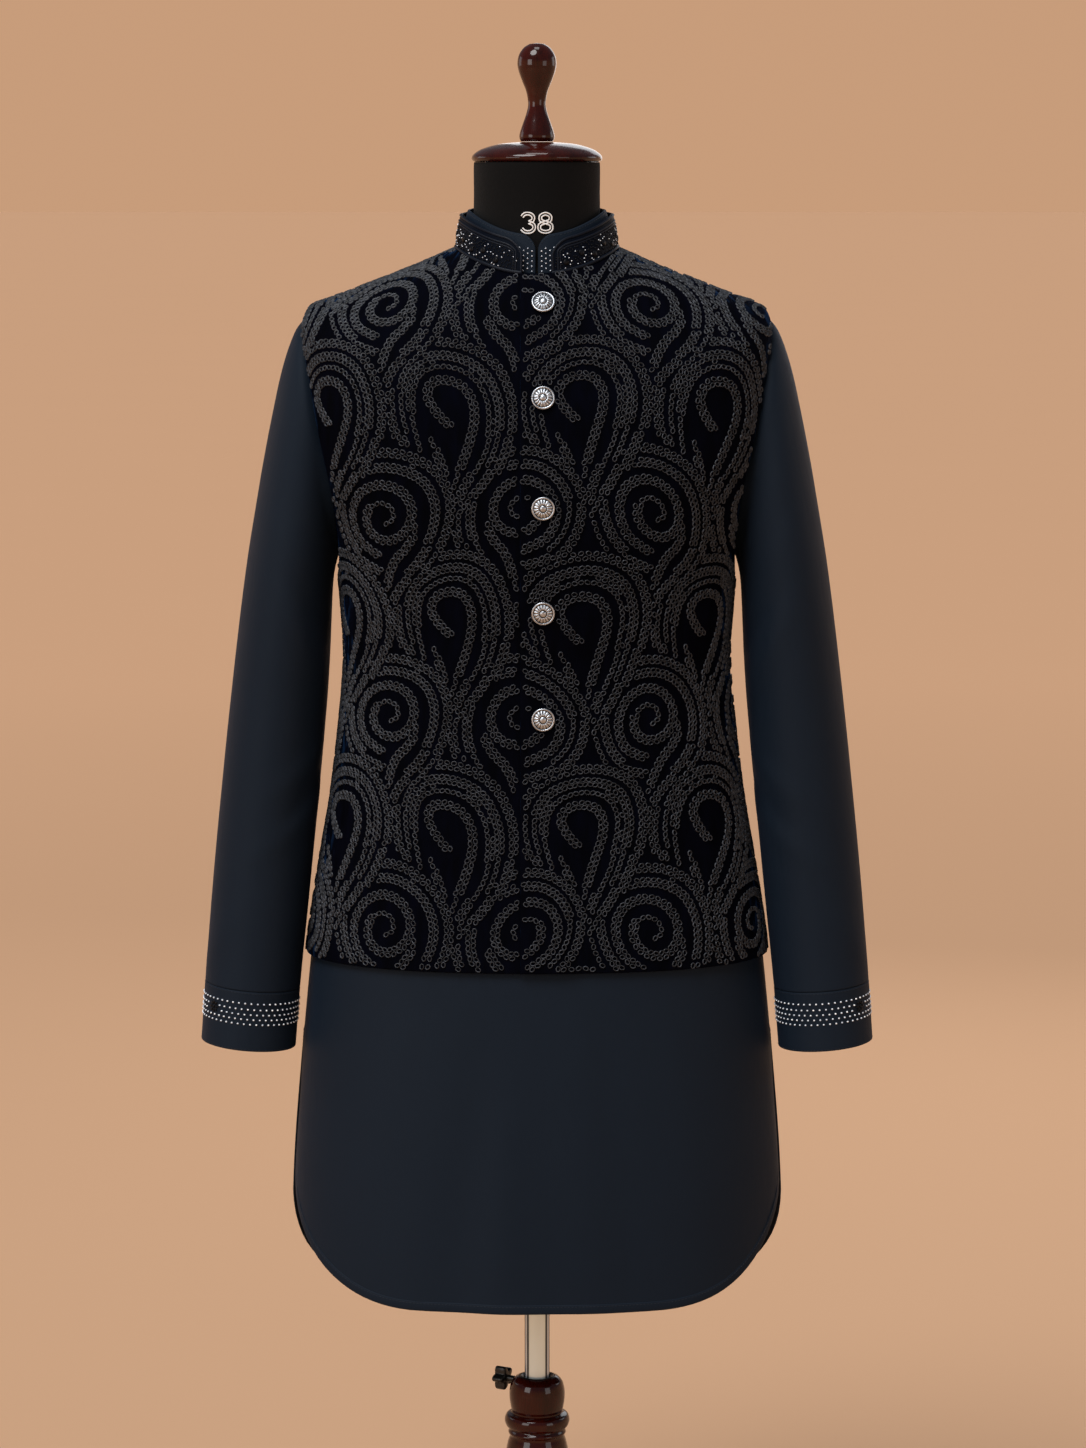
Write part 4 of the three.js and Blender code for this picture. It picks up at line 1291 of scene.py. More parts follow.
        def lift(angle: Array, ring: Array) -> Array:
            """The distance out at angles and rings."""
            y, z = np.moveaxis(self.block.point(angle, ring), -1, 0)[1:]
            sway = 0.9 * np.sin(angle * 7 + 0.6) + 0.7 * np.sin(angle * 11 + 2.1)
            below, low = (smoothstep(0, reach, self.covered_z - z) for reach in (60, 330))
            folds = crease_lift(self.CREASES, np.degrees(angle), z, 2.7)
            result = below * smoothstep(6, 60, np.abs(y)) * (folds + sway * low)
            if sign > 0:
                return result
            open_share = smoothstep(0, 90, self.slit_top_z - z)
            return result - self.front_tuck * open_share * (1 - smoothstep(0, self.front_tuck_reach, -y))

        return lift

    def _panel(self, sign: int) -> None:
        """Front (-1) or back (+1), with its turned hem and its stitching."""
        if sign < 0:
            word, hem_z, size, area = "front", self.front_hem_z, (0.575, 0.985), 0.452
        else:
            word, hem_z, size, area = "back", self.back_hem_z, (0.565, 1.06), 0.485
        rows = self._rows(hem_z)
        side = self._side_angle(rows, sign, hem_z)
        start, end = (-math.pi + side, -side) if sign < 0 else (side, math.pi - side)
        panel = Panel.on(self.block, rows, start, end, self.body_columns)
        face = Face(self.block, self._lift(sign))
        piece = face.shell(panel, self.cloth).piece(f"kurta_{word}_panel")
        self._place(piece, self.finishes.twill, f"kurta_{word}")
        hem, thread = self._hem(face, rows, start, end, word)

    def _hem(self, face: Face, rows: Rows, start: Array, end: Array, word: str) -> tuple[Piece, Piece]:
        """The narrow turned hem along the slits and the bottom edge, and its row of stitches."""
        low = rows.side_z <= self.slit_top_z - 4
        down, up = np.flatnonzero(low)[::-1], np.flatnonzero(low)
        bottom = np.linspace(start[0], end[0], 150)[1:-1]
        angle = np.concatenate([start[down], bottom, end[up]])
        ring = np.concatenate([rows.ring[down], np.full(len(bottom), rows.ring[0]), rows.ring[up]])
        edge = face.point(angle, ring)
        normal = self.block.normal(angle, ring)
        along = lengths_along(edge)
        even = np.linspace(0, along[-1], int(along[-1] / 3.0))
        edge, normal = read_along(edge, along, even), unit(read_along(normal, along, even))
        inward = unit(np.cross(normal, np.gradient(edge, axis=0)))
        half = self.hem_width / 2
        outer = [[-half, -0.2], [-half, 0.12], [-half + 0.7, 0.34]]
        inner = [[half - 0.7, 0.34], [half, 0.1], [half, -0.2]]
        points, faces = sweep(edge + inward * (half + 0.5), normal, np.array(outer + inner))
        strip = build_mesh(f"kurta_{word}_hem", points, faces, points[:, [0, 2]] * MM)
        hem = self._place(strip, self.finishes.twill)
        seam = edge + inward * (self.hem_width - 1.4) + normal * 0.3
        thread = stitches(seam, normal).piece(f"kurta_{word}_hem_stitches")
        return hem, self._place(thread, self.finishes.sewing)

    def _placket(self) -> None:
        """The buttoned strip down the front, which the waistcoat covers."""
        rows = self._rows(self.front_hem_z)
        keep = rows.side_z >= self.placket_bottom_z
        rows = Rows(rows.ring[keep], rows.cut[keep], rows.side_z[keep])
        half = self.placket_half_width
        ends = [self.block.angle_at_x(x, rows.ring) for x in (-half, half)]
        panel = Panel.on(self.block, rows, *ends, 24)
        face = Face(self.block, lambda a, r: np.full(np.shape(a), SEAM_GAP + self.placket_cloth))
        piece = face.shell(panel, self.placket_cloth).piece("kurta_placket_strip")
        self._place(piece, self.finishes.twill, "kurta_placket")

    def _collar(self) -> None:
        """The stand collar, with a stitched edge and beads on its two ends."""
        collar = StandCollar(
            self.block, self.block.neckline, height=36, lean=7, end_x=1.2, corner=15,
            cloth=self.collar_cloth, seat=self._on_block,
        )
        piece = collar.shell().piece("kurta_collar_band")
        self._place(piece, self.finishes.twill, "kurta_collar")
        line = collar.line(2.2)
        axes = collar.axes(line[:, 0], line[:, 1])
        seam = collar.point(line[:, 0], line[:, 1], 0.05)
        thread = stitches(seam, axes[:, 2]).piece("kurta_collar_stitches")
        self._place(thread, self.finishes.sewing)
        beads = Heap()
        column, row = (grid.ravel() for grid in np.meshgrid(np.arange(4), np.arange(5)))
        from_end = 3.4 + column * 4.1
        rise = 2.6 + row * 4.6 + np.where(column % 2 == 1, 2.3, 0.0)
        inside = rise < collar.top(from_end) - 2.8
        from_end, rise = from_end[inside], rise[inside]
        for place in (from_end, collar.length - from_end):
            beads.stamp(*dome(1.6, 1.6, 0.9), collar.point(place, rise, 0.05), collar.axes(place, rise))
        bead_piece = self._place(beads.piece("kurta_collar_beads"), self.finishes.silver_bead)

    @staticmethod
    def _on_block(angle: Array, ring: Array) -> Array:
        """No distance from the block at any place."""
        return np.zeros(np.broadcast(angle, ring).shape)

    def _section(self, row: Sequence[float], turn: Array) -> Array:
        """An oval section of a sleeve, from its inner side round by the front."""
        outer_x, outer_z, inner_x, inner_z, depth, forward = row
        inner, outer = np.array([[inner_x, -forward, inner_z], [outer_x, -forward, outer_z]])
        middle, across = (inner + outer) / 2, (outer - inner) / 2
        return middle - across * np.cos(turn)[:, None] - [0, depth, 0] * np.sin(turn)[:, None]

    def _armhole_loop(self, turn: Array) -> Array:
        """The kurta's armhole edge, from the armpit up the front, over the tip and down the back."""
        depth = np.where(np.sin(turn) >= 0, -self.armhole.front, self.armhole.back)
        ring = self.block.ring_at_side_z(self.armhole.side_z(turn / math.pi))
        angle = self.block.angle_at_y(depth * np.abs(np.sin(turn)), ring)
        return self.block.point(angle, ring) + [SEAM_GAP, 0, 0]

    def _wall(
        self, hand: Hand, part: str, shape: str, rows: Array, down: Array, cloth: float, degree: float
    ) -> Piece:
        """Makes a sleeve's or cuff's wall, mirrored for the right hand.

        Args:
            hand: The hand.
            part: The node's word.
            shape: The piece's last word.
            rows: Points of the outer face, row by row.
            down: Lengths down the arm at the rows.
            cloth: The cloth's thickness.
            degree: Millimetres of cloth to a degree round it.

        Returns:
            The piece, placed on the form.
        """
        degrees = np.degrees(whole_turn(rows.shape[1]))[None]
        rim = np.minimum(down - down.min(), down.max() - down)[:, None]
        thin = (drawn_in(rim, cloth) + 0 * degrees)[..., None]
        inward = unit(rows.mean(1, keepdims=True) - rows)
        outer, inner = rows + inward * thin, rows + inward * (cloth - thin)
        flat = np.stack(np.broadcast_arrays(degrees * degree, down[:, None]), -1)
        if hand is Hand.RIGHT:
            outer, inner, flat = (outer * MIRROR)[:, ::-1], (inner * MIRROR)[:, ::-1], flat[:, ::-1]
        node = f"kurta_{part}_{hand.word}"
        piece = Shell(outer, inner, flat, True).piece(f"{node}_{shape}")
        return self._place(piece, self.finishes.twill, node)

    def _sleeve(self, hand: Hand) -> None:
        """A sleeve from the armhole to the cuff, with soft folds at its elbow and armpit."""
        turn = whole_turn(self.sleeve_columns)
        stations = np.stack([self._armhole_loop(turn), *(self._section(row, turn) for row in self.SLEEVE)])
        last = len(stations) - 1
        even = np.linspace(0.2, last - 0.1, 118)
        place = np.concatenate([[0, 0.01, 0.04, 0.1], even, [last - 0.03, last]])
        rows = hermite(stations, place[::-1])
        middle = rows.mean(1, keepdims=True)
        down = lengths_along(middle[::-1, 0])[::-1]
        shift = 0 if hand is Hand.LEFT else 7
        lift = crease_lift(self.SLEEVE_CREASES, np.degrees(turn)[None], down[:, None] + shift, 1.0)
        lift = lift * (smoothstep(20, 70, down) * smoothstep(0, 40, down.max() - down))[:, None]
        rows = rows + unit(rows - middle) * lift[..., None]
        piece = self._wall(hand, "sleeve", "tube", rows, down, self.cloth, 1.02)

    def _cuff(self, hand: Hand) -> None:
        """A cuff with its stitching and its band of beads all round."""
        stations = np.stack([self._section(row, whole_turn(self.sleeve_columns)) for row in self.CUFF])
        place = edged(self.cuff_depth, 22) / self.cuff_depth * (len(self.CUFF) - 1)
        rows = hermite(stations, place[::-1])
        down = lengths_along(rows.mean(1)[::-1])[::-1]
        piece = self._wall(hand, "cuff", "band", rows, down, self.cuff_cloth, 0.84)
        extras = [*self._cuff_beads(stations, hand), self._cuff_stitches(stations, hand)]

    def _around_cuff(
        self, stations: Array, place: float, count: int, phase: float, hand: Hand
    ) -> tuple[Array, Array]:
        """Points spaced evenly round a cuff at a place down it, and the directions there."""
        loop, low = hermite(np.concatenate([stations, stations[:, :1]], 1), np.array([place, place + 0.05]))
        along = lengths_along(loop)
        at = np.interp((np.arange(count) + phase) / count * along[-1], along, np.arange(len(loop)))
        centre = hermite(loop, at)
        tangent = hermite(loop, at + 0.1) - hermite(loop, at - 0.1)
        up = centre - hermite(low, at)
        out = np.cross(tangent, up)
        if hand is Hand.RIGHT:
            centre, out, up = (v * MIRROR for v in (centre, out, up))
        return centre, frames_of(out, up)

    def _cuff_beads(self, stations: Array, hand: Hand) -> tuple[Piece, Piece]:
        """Five staggered rows of silver beads round a cuff, and a dark rosette among them."""
        around = self._around_cuff(stations, 0.98, 54, 0.3, hand)
        middle, turned_to = (v[[self.rosette_column]] for v in around)
        beads, flower = Heap(), Heap()
        for row in range(self.cuff_bead_rows):
            place, phase = 0.62 + row * 0.255, 0.5 * (row % 2)
            centre, axes = self._around_cuff(stations, place, self.cuff_bead_columns, phase, hand)
            clear = np.linalg.norm(centre - middle, axis=1) > self.rosette_reach
            beads.stamp(*dome(2.15, 2.0, 1.1), centre[clear], axes[clear])
        flower.stamp(*dome(3.2, 3.2, 1.5, 10), middle, turned_to)
        for turn in whole_turn(self.petals):
            across = math.cos(turn) * turned_to[:, 0] + math.sin(turn) * turned_to[:, 1]
            flower.stamp(*dome(2.6, 4.6, 1.0, 8), middle + across * 4.1, frames_of(turned_to[:, 2], across))
        rosette = self._place(flower.piece(f"kurta_cuff_{hand.word}_rosette"), self.finishes.smoke_bead)
        return self._place(beads.piece(f"kurta_cuff_{hand.word}_beads"), self.finishes.silver_bead), rosette

    def _cuff_stitches(self, stations: Array, hand: Hand) -> Piece:
        """A row of stitches inside each edge of a cuff."""
        thread = Heap()
        for place in (0.14, 2.87):
            seats = self._around_cuff(stations, place, self.cuff_stitches, 0, hand)
            thread.stamp(*dome(2.4, 0.4, 0.25), *seats)
        return self._place(thread.piece(f"kurta_cuff_{hand.word}_stitches"), self.finishes.sewing)


# The waistcoat


class FlatMap:
    """Where a place of the flat cloth lies on the block, for one half of the front or the back.

    A place is a distance out from the centre line, level with the floor, and a length up from the hem.
    """

    STEP = 3.0

    def __init__(self, block: Block, middle_angle: float, hem_z: float, neck_ring: float) -> None:
        """Measures the surface.

        Args:
            block: The body's surface.
            middle_angle: The angle of the centre line, -90 degrees in front and 90 behind.
            hem_z: Height of the hem.
            neck_ring: The ring of the neck edge.
        """
        self._base = hem_z
        angles = middle_angle * (1 - np.linspace(0, 1.14, 171))
        rings = np.linspace(float(block.ring_at_side_z(hem_z)), neck_ring, 700)
        heights = block.point(angles[:, None], rings[None])[..., 2]
        levels = np.arange(hem_z, 1462, self.STEP)
        ring_at = np.stack([np.interp(levels, row, rings) for row in heights], 1)
        over = np.stack([levels > row[-1] for row in heights], 1)
        points = block.point(angles[None], ring_at)
        legs = np.diff(points, axis=1)
        level = np.linalg.norm(legs[..., :2], axis=-1)
        arcs = np.where(over[:, 1:] & over[:, :-1], np.abs(legs[..., 0]), level)
        out = np.concatenate([np.zeros((len(levels), 1)), np.cumsum(arcs, 1)], 1)
        places = np.arange(0, 420, self.STEP)
        self._angle = np.stack([np.interp(places, row, angles) for row in out])
        self._ring = np.stack([np.interp(places, row, ring) for row, ring in zip(out, ring_at)])
        grid = block.point(self._angle, self._ring)
        rises = np.linalg.norm(np.diff(grid, axis=0), axis=-1)
        self._up = np.concatenate([np.zeros((1, len(places))), np.cumsum(rises, 0)])
        self._turn_over = middle_angle * 2

    def locate(self, out: Array, up: Array) -> tuple[Array, Array]:
        """The angle and ring of places of the flat cloth.

        Args:
            out: Distances from the centre line, below 0 on the wearer's right.
            up: Lengths up from the hem.

        Returns:
            Angles and rings.
        """
        at = np.clip(np.abs(out) / self.STEP, 0, self._up.shape[1] - 1.001)
        j = at.astype(int)
        f = at - j
        low = np.zeros(j.shape, int)
        high = np.full(j.shape, len(self._up) - 1)

        def read(table: Array, k: Array) -> Array:
            """A table's value between two columns, at row k."""
            return table[k, j] * (1 - f) + table[k, j + 1] * f

        while np.any(high - low > 1):
            middle = (low + high) // 2
            under = read(self._up, middle) <= up
            low, high = np.where(under, middle, low), np.where(under, high, middle)
        start, end = read(self._up, low), read(self._up, high)
        g = np.clip((up - start) / np.maximum(end - start, 1e-6), 0, 1)
        angle = read(self._angle, low) * (1 - g) + read(self._angle, high) * g
        ring = read(self._ring, low) * (1 - g) + read(self._ring, high) * g
        mirrored = math.copysign(math.pi, self._turn_over) - angle
        return np.where(out < 0, mirrored, angle), ring


@dataclass(frozen=True)
class Band:
    """A scroll of the embroidery: its middle line, and its rows of rings at start, middle and end."""

    line: Outline
    first: float
    full: float
    last: float

    def rows(self, share: Array) -> Array:
        """Rows of rings at shares of its length, swelling over its first and last third."""
        near = self.first + (self.full - self.first) * np.clip(share / 0.3, 0, 1)
        far = self.last + (self.full - self.last) * np.clip((1 - share) / 0.3, 0, 1)
        return np.round(np.where(share < 0.5, near, far))


def spiral(middle: tuple[float, float], radii: tuple[float, float], start: float, turns: float) -> Outline:
    """Points of a spiral from its outer to its inner end."""
    t = np.linspace(0, 1, 18)
    angle = math.radians(start) + 2 * math.pi * turns * t
    radius = radii[0] + (radii[1] - radii[0]) * t
    return tuple(zip(middle[0] + radius * np.cos(angle), middle[1] + radius * np.sin(angle)))


@dataclass
class ScrollWork:
    """Interlocking comma scrolls of chained thread rings, in staggered columns of two kinds.

    Lengths are millimetres of flat cloth. Rings follow a band in rows, and a band of more than two rows is
    parted along its middle.
    """

    pitch: float = 61
    period: float = 196
    first_column: float = -17
    first_row: float = 35
    along: float = 5.5
    across: float = 4.5
    parting: float = 1.9
    stagger: float = 2.7
    tilt: float = 0.42
    closest: float = 4.0
    wander: float = 3.4
    loose_turn: float = 0.12
    seed: int = 3

    ROUND = (
        Band(
            ((2, -99), (-2, -80), (-14, -62), (-34, -44), (-49, -18), (-51, 12), (-38, 38), (-13, 52))
            + ((15, 52), (38, 38), (51, 13), (47, -16), (31, -38), (9, -48)),
            1, 4, 2,
        ),
        Band(spiral((0, 3), (37, 6), -80, 1.9), 2, 2, 1),
        Band(((5, -76), (1, -62), (-4, -48), (-11, -36), (-20, -27), (-28, -14), (-29, 0)), 1, 2, 1),
    )
    DROP = (
        Band(
            ((-22, -70), (-38, -44), (-50, -14), (-50, 16), (-37, 40), (-12, 53), (16, 52), (38, 38))
            + ((50, 12), (50, -14), (41, -42), (27, -66), (12, -86), (3, -100)),
            1, 4, 1,
        ),
        Band(
            ((-31, -36), (-36, -10), (-35, 12), (-26, 30), (-8, 39), (12, 38), (28, 27), (36, 8), (35, -14))
            + ((28, -38), (17, -58)),
            1, 2, 1,
        ),
        Band(
            ((-3, -16), (-13, -5), (-20, 9), (-15, 21), (-2, 25), (12, 21), (20, 8), (20, -9), (14, -28))
            + ((7, -46), (1, -62), (-4, -82)),
            2, 2, 1,
        ),
        Band(((-9, -70), (-11, -56), (-16, -42), (-21, -28)), 1, 2, 1),
    )

    def _motif(self, bands: Sequence[Band], flip: int) -> Array:
        """Places and directions of the rings of one motif, as x, y, angle and row."""
        found = []
        for band in bands:
            line = spline([(flip * x, y) for x, y in band.line], self.along)
            tangent = unit(np.gradient(line, axis=0))
            normal = np.stack([-tangent[:, 1], tangent[:, 0]], 1)
            rows = band.rows(np.linspace(0, 1, len(line)))
            for row in range(int(rows.max())):
                q = np.flatnonzero(rows > row)
                place = row - (rows[q] - 1) / 2
                off = place * self.across + np.sign(place + 0.1) * np.where(rows[q] > 2, self.parting, 0.0)
                shift = self.stagger if row % 2 else 0.0
                centre = line[q] + normal[q] * off[:, None] + tangent[q] * shift
                tilt = np.where((q + row) % 2 == 1, self.tilt, -self.tilt)
                turn = np.arctan2(tangent[q, 1], tangent[q, 0]) + tilt
                found.append(np.column_stack([centre, turn]))
        return np.concatenate(found)

    def rings(self, half_width: float, height: float) -> Array:
        """All rings on a flat cloth.

        Args:
            half_width: How far the cloth reaches to each side of its centre line.
            height: How far it reaches up from the hem.

        Returns:
            One row per ring: its place across, its place up, and its direction.
        """
        kinds = (self.ROUND, self.DROP)
        motifs = {(kind, flip): self._motif(kinds[kind], flip) for kind in (0, 1) for flip in (-1, 1)}
        found = []
        reach = math.ceil(half_width / self.pitch) + 2
        for i in range(-reach, reach + 1):
            motif = motifs[i % 2, -1 if i % 4 == 2 else 1]
            for j in range(-2, math.ceil(height / self.period) + 2):
                up = self.first_row + (j + 0.5 * (i % 2)) * self.period
                found.append(motif + [self.first_column + i * self.pitch, up, 0])
        rings = np.concatenate(found)
        x, y = rings[:, 0].copy(), rings[:, 1].copy()
        rings[:, 0] += self.wander * (np.sin(y / 31 + x / 67) + 0.6 * np.sin(y / 83 - x / 29))
        rings[:, 1] += self.wander * (np.sin(x / 43 - y / 71 + 1.0) + 0.6 * np.sin(x / 23 + y / 97))
        inside = (np.abs(rings[:, 0]) < half_width) & (rings[:, 1] > 0) & (rings[:, 1] < height)
        rings = self._apart(rings[inside])
        rings[:, 2] += np.random.default_rng(self.seed).normal(0, self.loose_turn, len(rings))
        return rings

    def _apart(self, rings: Array) -> Array:
        """The rings without those that lie too close to an earlier one, found by cells of that size."""
        cells: dict[tuple[int, int], list[tuple[float, float]]] = {}
        keep = []
        limit = self.closest**2
        for index, (x, y) in enumerate(rings[:, :2].tolist()):
            i, j = int(x // self.closest), int(y // self.closest)
            near = (p for a in (-1, 0, 1) for b in (-1, 0, 1) for p in cells.get((i + a, j + b), ()))
            if any((p[0] - x) ** 2 + (p[1] - y) ** 2 < limit for p in near):
                continue
            cells.setdefault((i, j), []).append((x, y))
            keep.append(index)
        return rings[keep]


def thread_ring(sides: int = 7) -> tuple[Array, list[Array]]:
    """One oval ring of thread, lying flat with a rounded back."""
    turn = whole_turn(sides)
    loops = [(2.45, 3.15, -0.2), (2.0, 2.68, 1.25), (1.4, 2.05, -0.1)]
    points = [np.stack([a * np.cos(turn), b * np.sin(turn), np.full(sides, z)], 1) for a, b, z in loops]
    return np.concatenate(points), [grid_faces(3, sides, True)]


@dataclass
class Waistcoat:
    """The velvet waistcoat: two fronts, a back, a collar, five buttons and its embroidery."""

    block: Block
    finishes: Finishes
    cloth: float = 2.0
    air: float = 3.0
    shoulder_air: float = 0.8
    hem_z: float = 786
    neck_drop: float = 0.12
    armhole: Armhole = Armhole(1140, 1393, 66, 64)
    upper_edge_x: float = -15
    under_edge_x: float = 20
    lap_end_x: float = 21
    lap_fade_x: float = 45
    button_x: float = 5.7
    button_radius: float = 11.5
    button_sides: int = 96
    button_clear: float = 1.6
    work_half_width: float = 345
    work_height: float = 760
    rosette_pitch: float = 15.5
    rosette_clear: float = 4.4
    rosette_ring: float = 5.6
    strewn_tries: int = 5200
    bead_gap: float = 2.35
    bright_ringed: float = 0.5
    bright_strewn: float = 0.24
    button_shown: float = 0.95
    button_zs: tuple[float, ...] = (1399, 1316, 1218, 1122, 1022)
    collar_height: float = 31
    columns: int = 58
    back_columns: int = 100
    seed: int = 11

    # Radius and height of the cast button
    BUTTON = (
        (0.0, 0.0), (10.1, 0.0), (10.9, 0.5), (11.4, 1.3), (11.4, 2.2), (11.0, 2.9), (10.4, 3.15),
        (9.8, 2.95), (9.3, 2.5), (8.9, 2.45), (8.2, 2.75), (7.3, 3.15), (6.3, 3.5), (5.2, 3.8),
        (4.3, 3.95), (3.7, 3.7), (3.3, 3.7), (2.7, 4.3), (1.7, 4.7), (0.8, 4.85), (0.0, 4.9),
    )
    CREASES = (
        Crease(-62, 1128, -84, 1178, 15, 0.6),
        Crease(-118, 1120, -98, 1172, 15, 0.5),
        Crease(-24, 1060, -58, 1028, 17, -0.6),
        Crease(-156, 1066, -124, 1034, 16, -0.5),
        Crease(-40, 800, -46, 930, 18, 0.7),
        Crease(-136, 795, -130, 920, 18, 0.6),
        Crease(-70, 800, -66, 880, 20, -0.5),
        Crease(62, 1060, 96, 1046, 14, 0.8),
        Crease(84, 1080, 124, 1068, 14, -0.7),
        Crease(58, 800, 66, 950, 20, 0.7),
        Crease(118, 795, 110, 960, 20, 0.8),
        Crease(140, 1120, 112, 1180, 16, 0.6),
    )

    def __post_init__(self) -> None:
        """Works out the lap's height and the neck's ring."""
        self.lap = self.cloth + SEAM_GAP
        self.neck_ring = self.block.neckline - self.neck_drop

    def build(self) -> None:
        """Builds every piece of the waistcoat."""
        work = self._scrolls()
        self._front(Hand.LEFT)
        self._front(Hand.RIGHT)
        self._back()
        self._collar()
        self._buttons()

    def _place(self, piece: Piece, slot: Slot, finish: bpy.types.Material, *nodes: str) -> Piece:
        """Rides a piece on the form."""
        return place_piece(piece, Body.FORM, finish, nodes)

    def _air(self, angle: Array, ring: Array) -> Array:
        """Air under the waistcoat: least along the shoulders, where it hangs."""
        tip = self.block.tip
        shoulder = smoothstep(tip + 0.1, tip + 0.5, ring) * np.cos(angle) ** 2
        return self.air + (self.shoulder_air - self.air) * shoulder

    def _seat(self, angle: Array, ring: Array) -> Array:
        """How far the waistcoat's outer face lies from the block where it has no folds."""
        return self._air(angle, ring) + self.cloth

    def _lift(self, raised: bool) -> Callable[[Array, Array], Array]:
        """How far the outer face lies from the block, on the lap's upper layer or elsewhere."""

        def lift(angle: Array, ring: Array) -> Array:
            """The distance out at angles and rings."""
            point = self.block.point(angle, ring)
            folds = crease_lift(self.CREASES, np.degrees(angle), point[..., 2], 2.9)
            away = smoothstep(10, 70, np.abs(point[..., 0]))
            result = self._seat(angle, ring) + folds * away
            if not raised:
                return result
            return result + self.lap * (1 - smoothstep(self.lap_end_x, self.lap_fade_x, point[..., 0]))

        return lift

    def _face(self, raised: bool) -> Face:
        """The outer face of the upper front, or of the rest."""
        return Face(self.block, self._lift(raised))

    def _rows(self) -> Rows:
        """The rows of a panel."""
        near = self.hem_z + np.array(EDGE_STEPS)
        straight = np.concatenate([near, np.linspace(self.hem_z + 14, self.armhole.bottom_z, 34)[:-1]])
        return Rows.up(self.block, straight, self.armhole, self.neck_ring)

    def _side(self, rows: Rows, sign: int) -> Array:
        """How far from the side line each row ends."""
        y = np.maximum(self.armhole.depth(sign) * rows.cut, SEAM_GAP / 2)
        return np.abs(self.block.angle_at_y(sign * y, rows.ring))

    def _front(self, hand: Hand) -> None:
        """A front from its lap edge to the side seam. The wearer's left one lies on top."""
        rows = self._rows()
        side = self._side(rows, -1)
        if hand is Hand.LEFT:
            start, end = self.block.angle_at_x(self.upper_edge_x, rows.ring), -side
        else:
            start, end = -math.pi + side, self.block.angle_at_x(self.under_edge_x, rows.ring)
        panel = Panel.on(self.block, rows, start, end, self.columns)
        if hand is Hand.LEFT:
            zero = np.full(panel.length.shape, -self.upper_edge_x)
        else:
            zero = panel.length - self.under_edge_x
        face = self._face(hand is Hand.LEFT)
        piece = face.shell(panel, self.cloth, zero).piece(f"waistcoat_front_{hand.word}_panel")
        self._place(piece, Slot.VELVET, self.finishes.velvet, f"waistcoat_front_{hand.word}")

    def _back(self) -> None:
        """The back, in one panel."""
        rows = self._rows()
        side = self._side(rows, 1)
        panel = Panel.on(self.block, rows, side, math.pi - side, self.back_columns)
        piece = self._face(False).shell(panel, self.cloth).piece("waistcoat_back_panel")
        self._place(piece, Slot.VELVET, self.finishes.velvet, "waistcoat_back")

    def _scrolls(self) -> dict[str, Piece]:
        """The embroidery of the fronts and of the back, matched across the opening and centre."""
        rings = ScrollWork().rings(self.work_half_width, self.work_height)
        upper_x, under_x = self.upper_edge_x + 2.4, self.upper_edge_x - 2.6
        made = {}
        for sign, words in ((-1, ("left", "right")), (1, ("back_left", "back_right"))):
            flat = FlatMap(self.block, sign * math.pi / 2, self.hem_z, self.neck_ring)
            out, up, turn = rings.T
            angle, ring = flat.locate(out, up)
            ahead_out, ahead_up = 1.5 * np.cos(turn), 1.5 * np.sin(turn)
            next_angle, next_ring = flat.locate(out + ahead_out, up + ahead_up)
            point = self.block.point(angle, ring)
            x = point[:, 0]
            on_left = x > upper_x if sign < 0 else x >= 0
            off_lap = (x > upper_x) | (x < under_x) if sign < 0 else True
            inside = self._inside(point, ring, sign) & off_lap
            for hand_word, mine in zip(words, (on_left, ~on_left)):
                pick = np.flatnonzero(inside & mine)
                face = self._face(sign < 0 and hand_word == "left")
                centre = face.point(angle[pick], ring[pick])
                ahead = face.point(next_angle[pick], next_ring[pick])
                clear = self._clear_of_buttons(centre) if hand_word == "left" else np.full(len(pick), True)
                normal = self.block.normal(angle[pick], ring[pick])
                axes = frames_of(normal, ahead - centre)[clear]
                raised = np.random.default_rng(self.seed).uniform(0, 0.3, (clear.sum(), 1))
                centre = centre[clear] + axes[:, 2] * raised
                heap = Heap()
                heap.stamp(*thread_ring(), centre, axes)
                piece = heap.piece(f"waistcoat_scrolls_{hand_word}")
                made[hand_word] = self._place(piece, Slot.VELVET, self.finishes.chain)
        return made

    def _inside(self, point: Array, ring: Array, sign: int, margin: float = 3.0) -> Array:
        """Whether places lie on the front or back panel, clear of its edges."""
        side_z = self.block.side(ring)[1]
        limit = self.armhole.limit(side_z, sign) + margin
        edge_y = np.where(side_z > self.armhole.bottom_z - margin, limit, margin * 0.8)
        over_side = np.abs(point[:, 1]) > edge_y
        low_enough = ring < self.neck_ring - 0.045
        return over_side & low_enough & (point[:, 1] * sign > 0) & (point[:, 2] > self.hem_z + margin)

    def _button_seats(self) -> tuple[Array, Array]:
        """Centres and directions of the buttons on the upper front."""
        fine = np.linspace(self.block.ring("belly"), self.neck_ring, 900)
        heights = self.block.point(-math.pi / 2, fine)[:, 2]
        ring = np.interp(self.button_zs, heights, fine)
        angle = self.block.angle_at_x(self.button_x, ring)
        return self._face(True).point(angle, ring, 0.15), self.block.normal(angle, ring)

    def _clear_of_buttons(self, centre: Array) -> Array:
        """Whether rings lie clear of every button."""
        seats = self._button_seats()[0]
        gaps = np.linalg.norm(centre[:, None] - seats[None], axis=-1)
        return gaps.min(1) > self.button_radius + self.button_clear

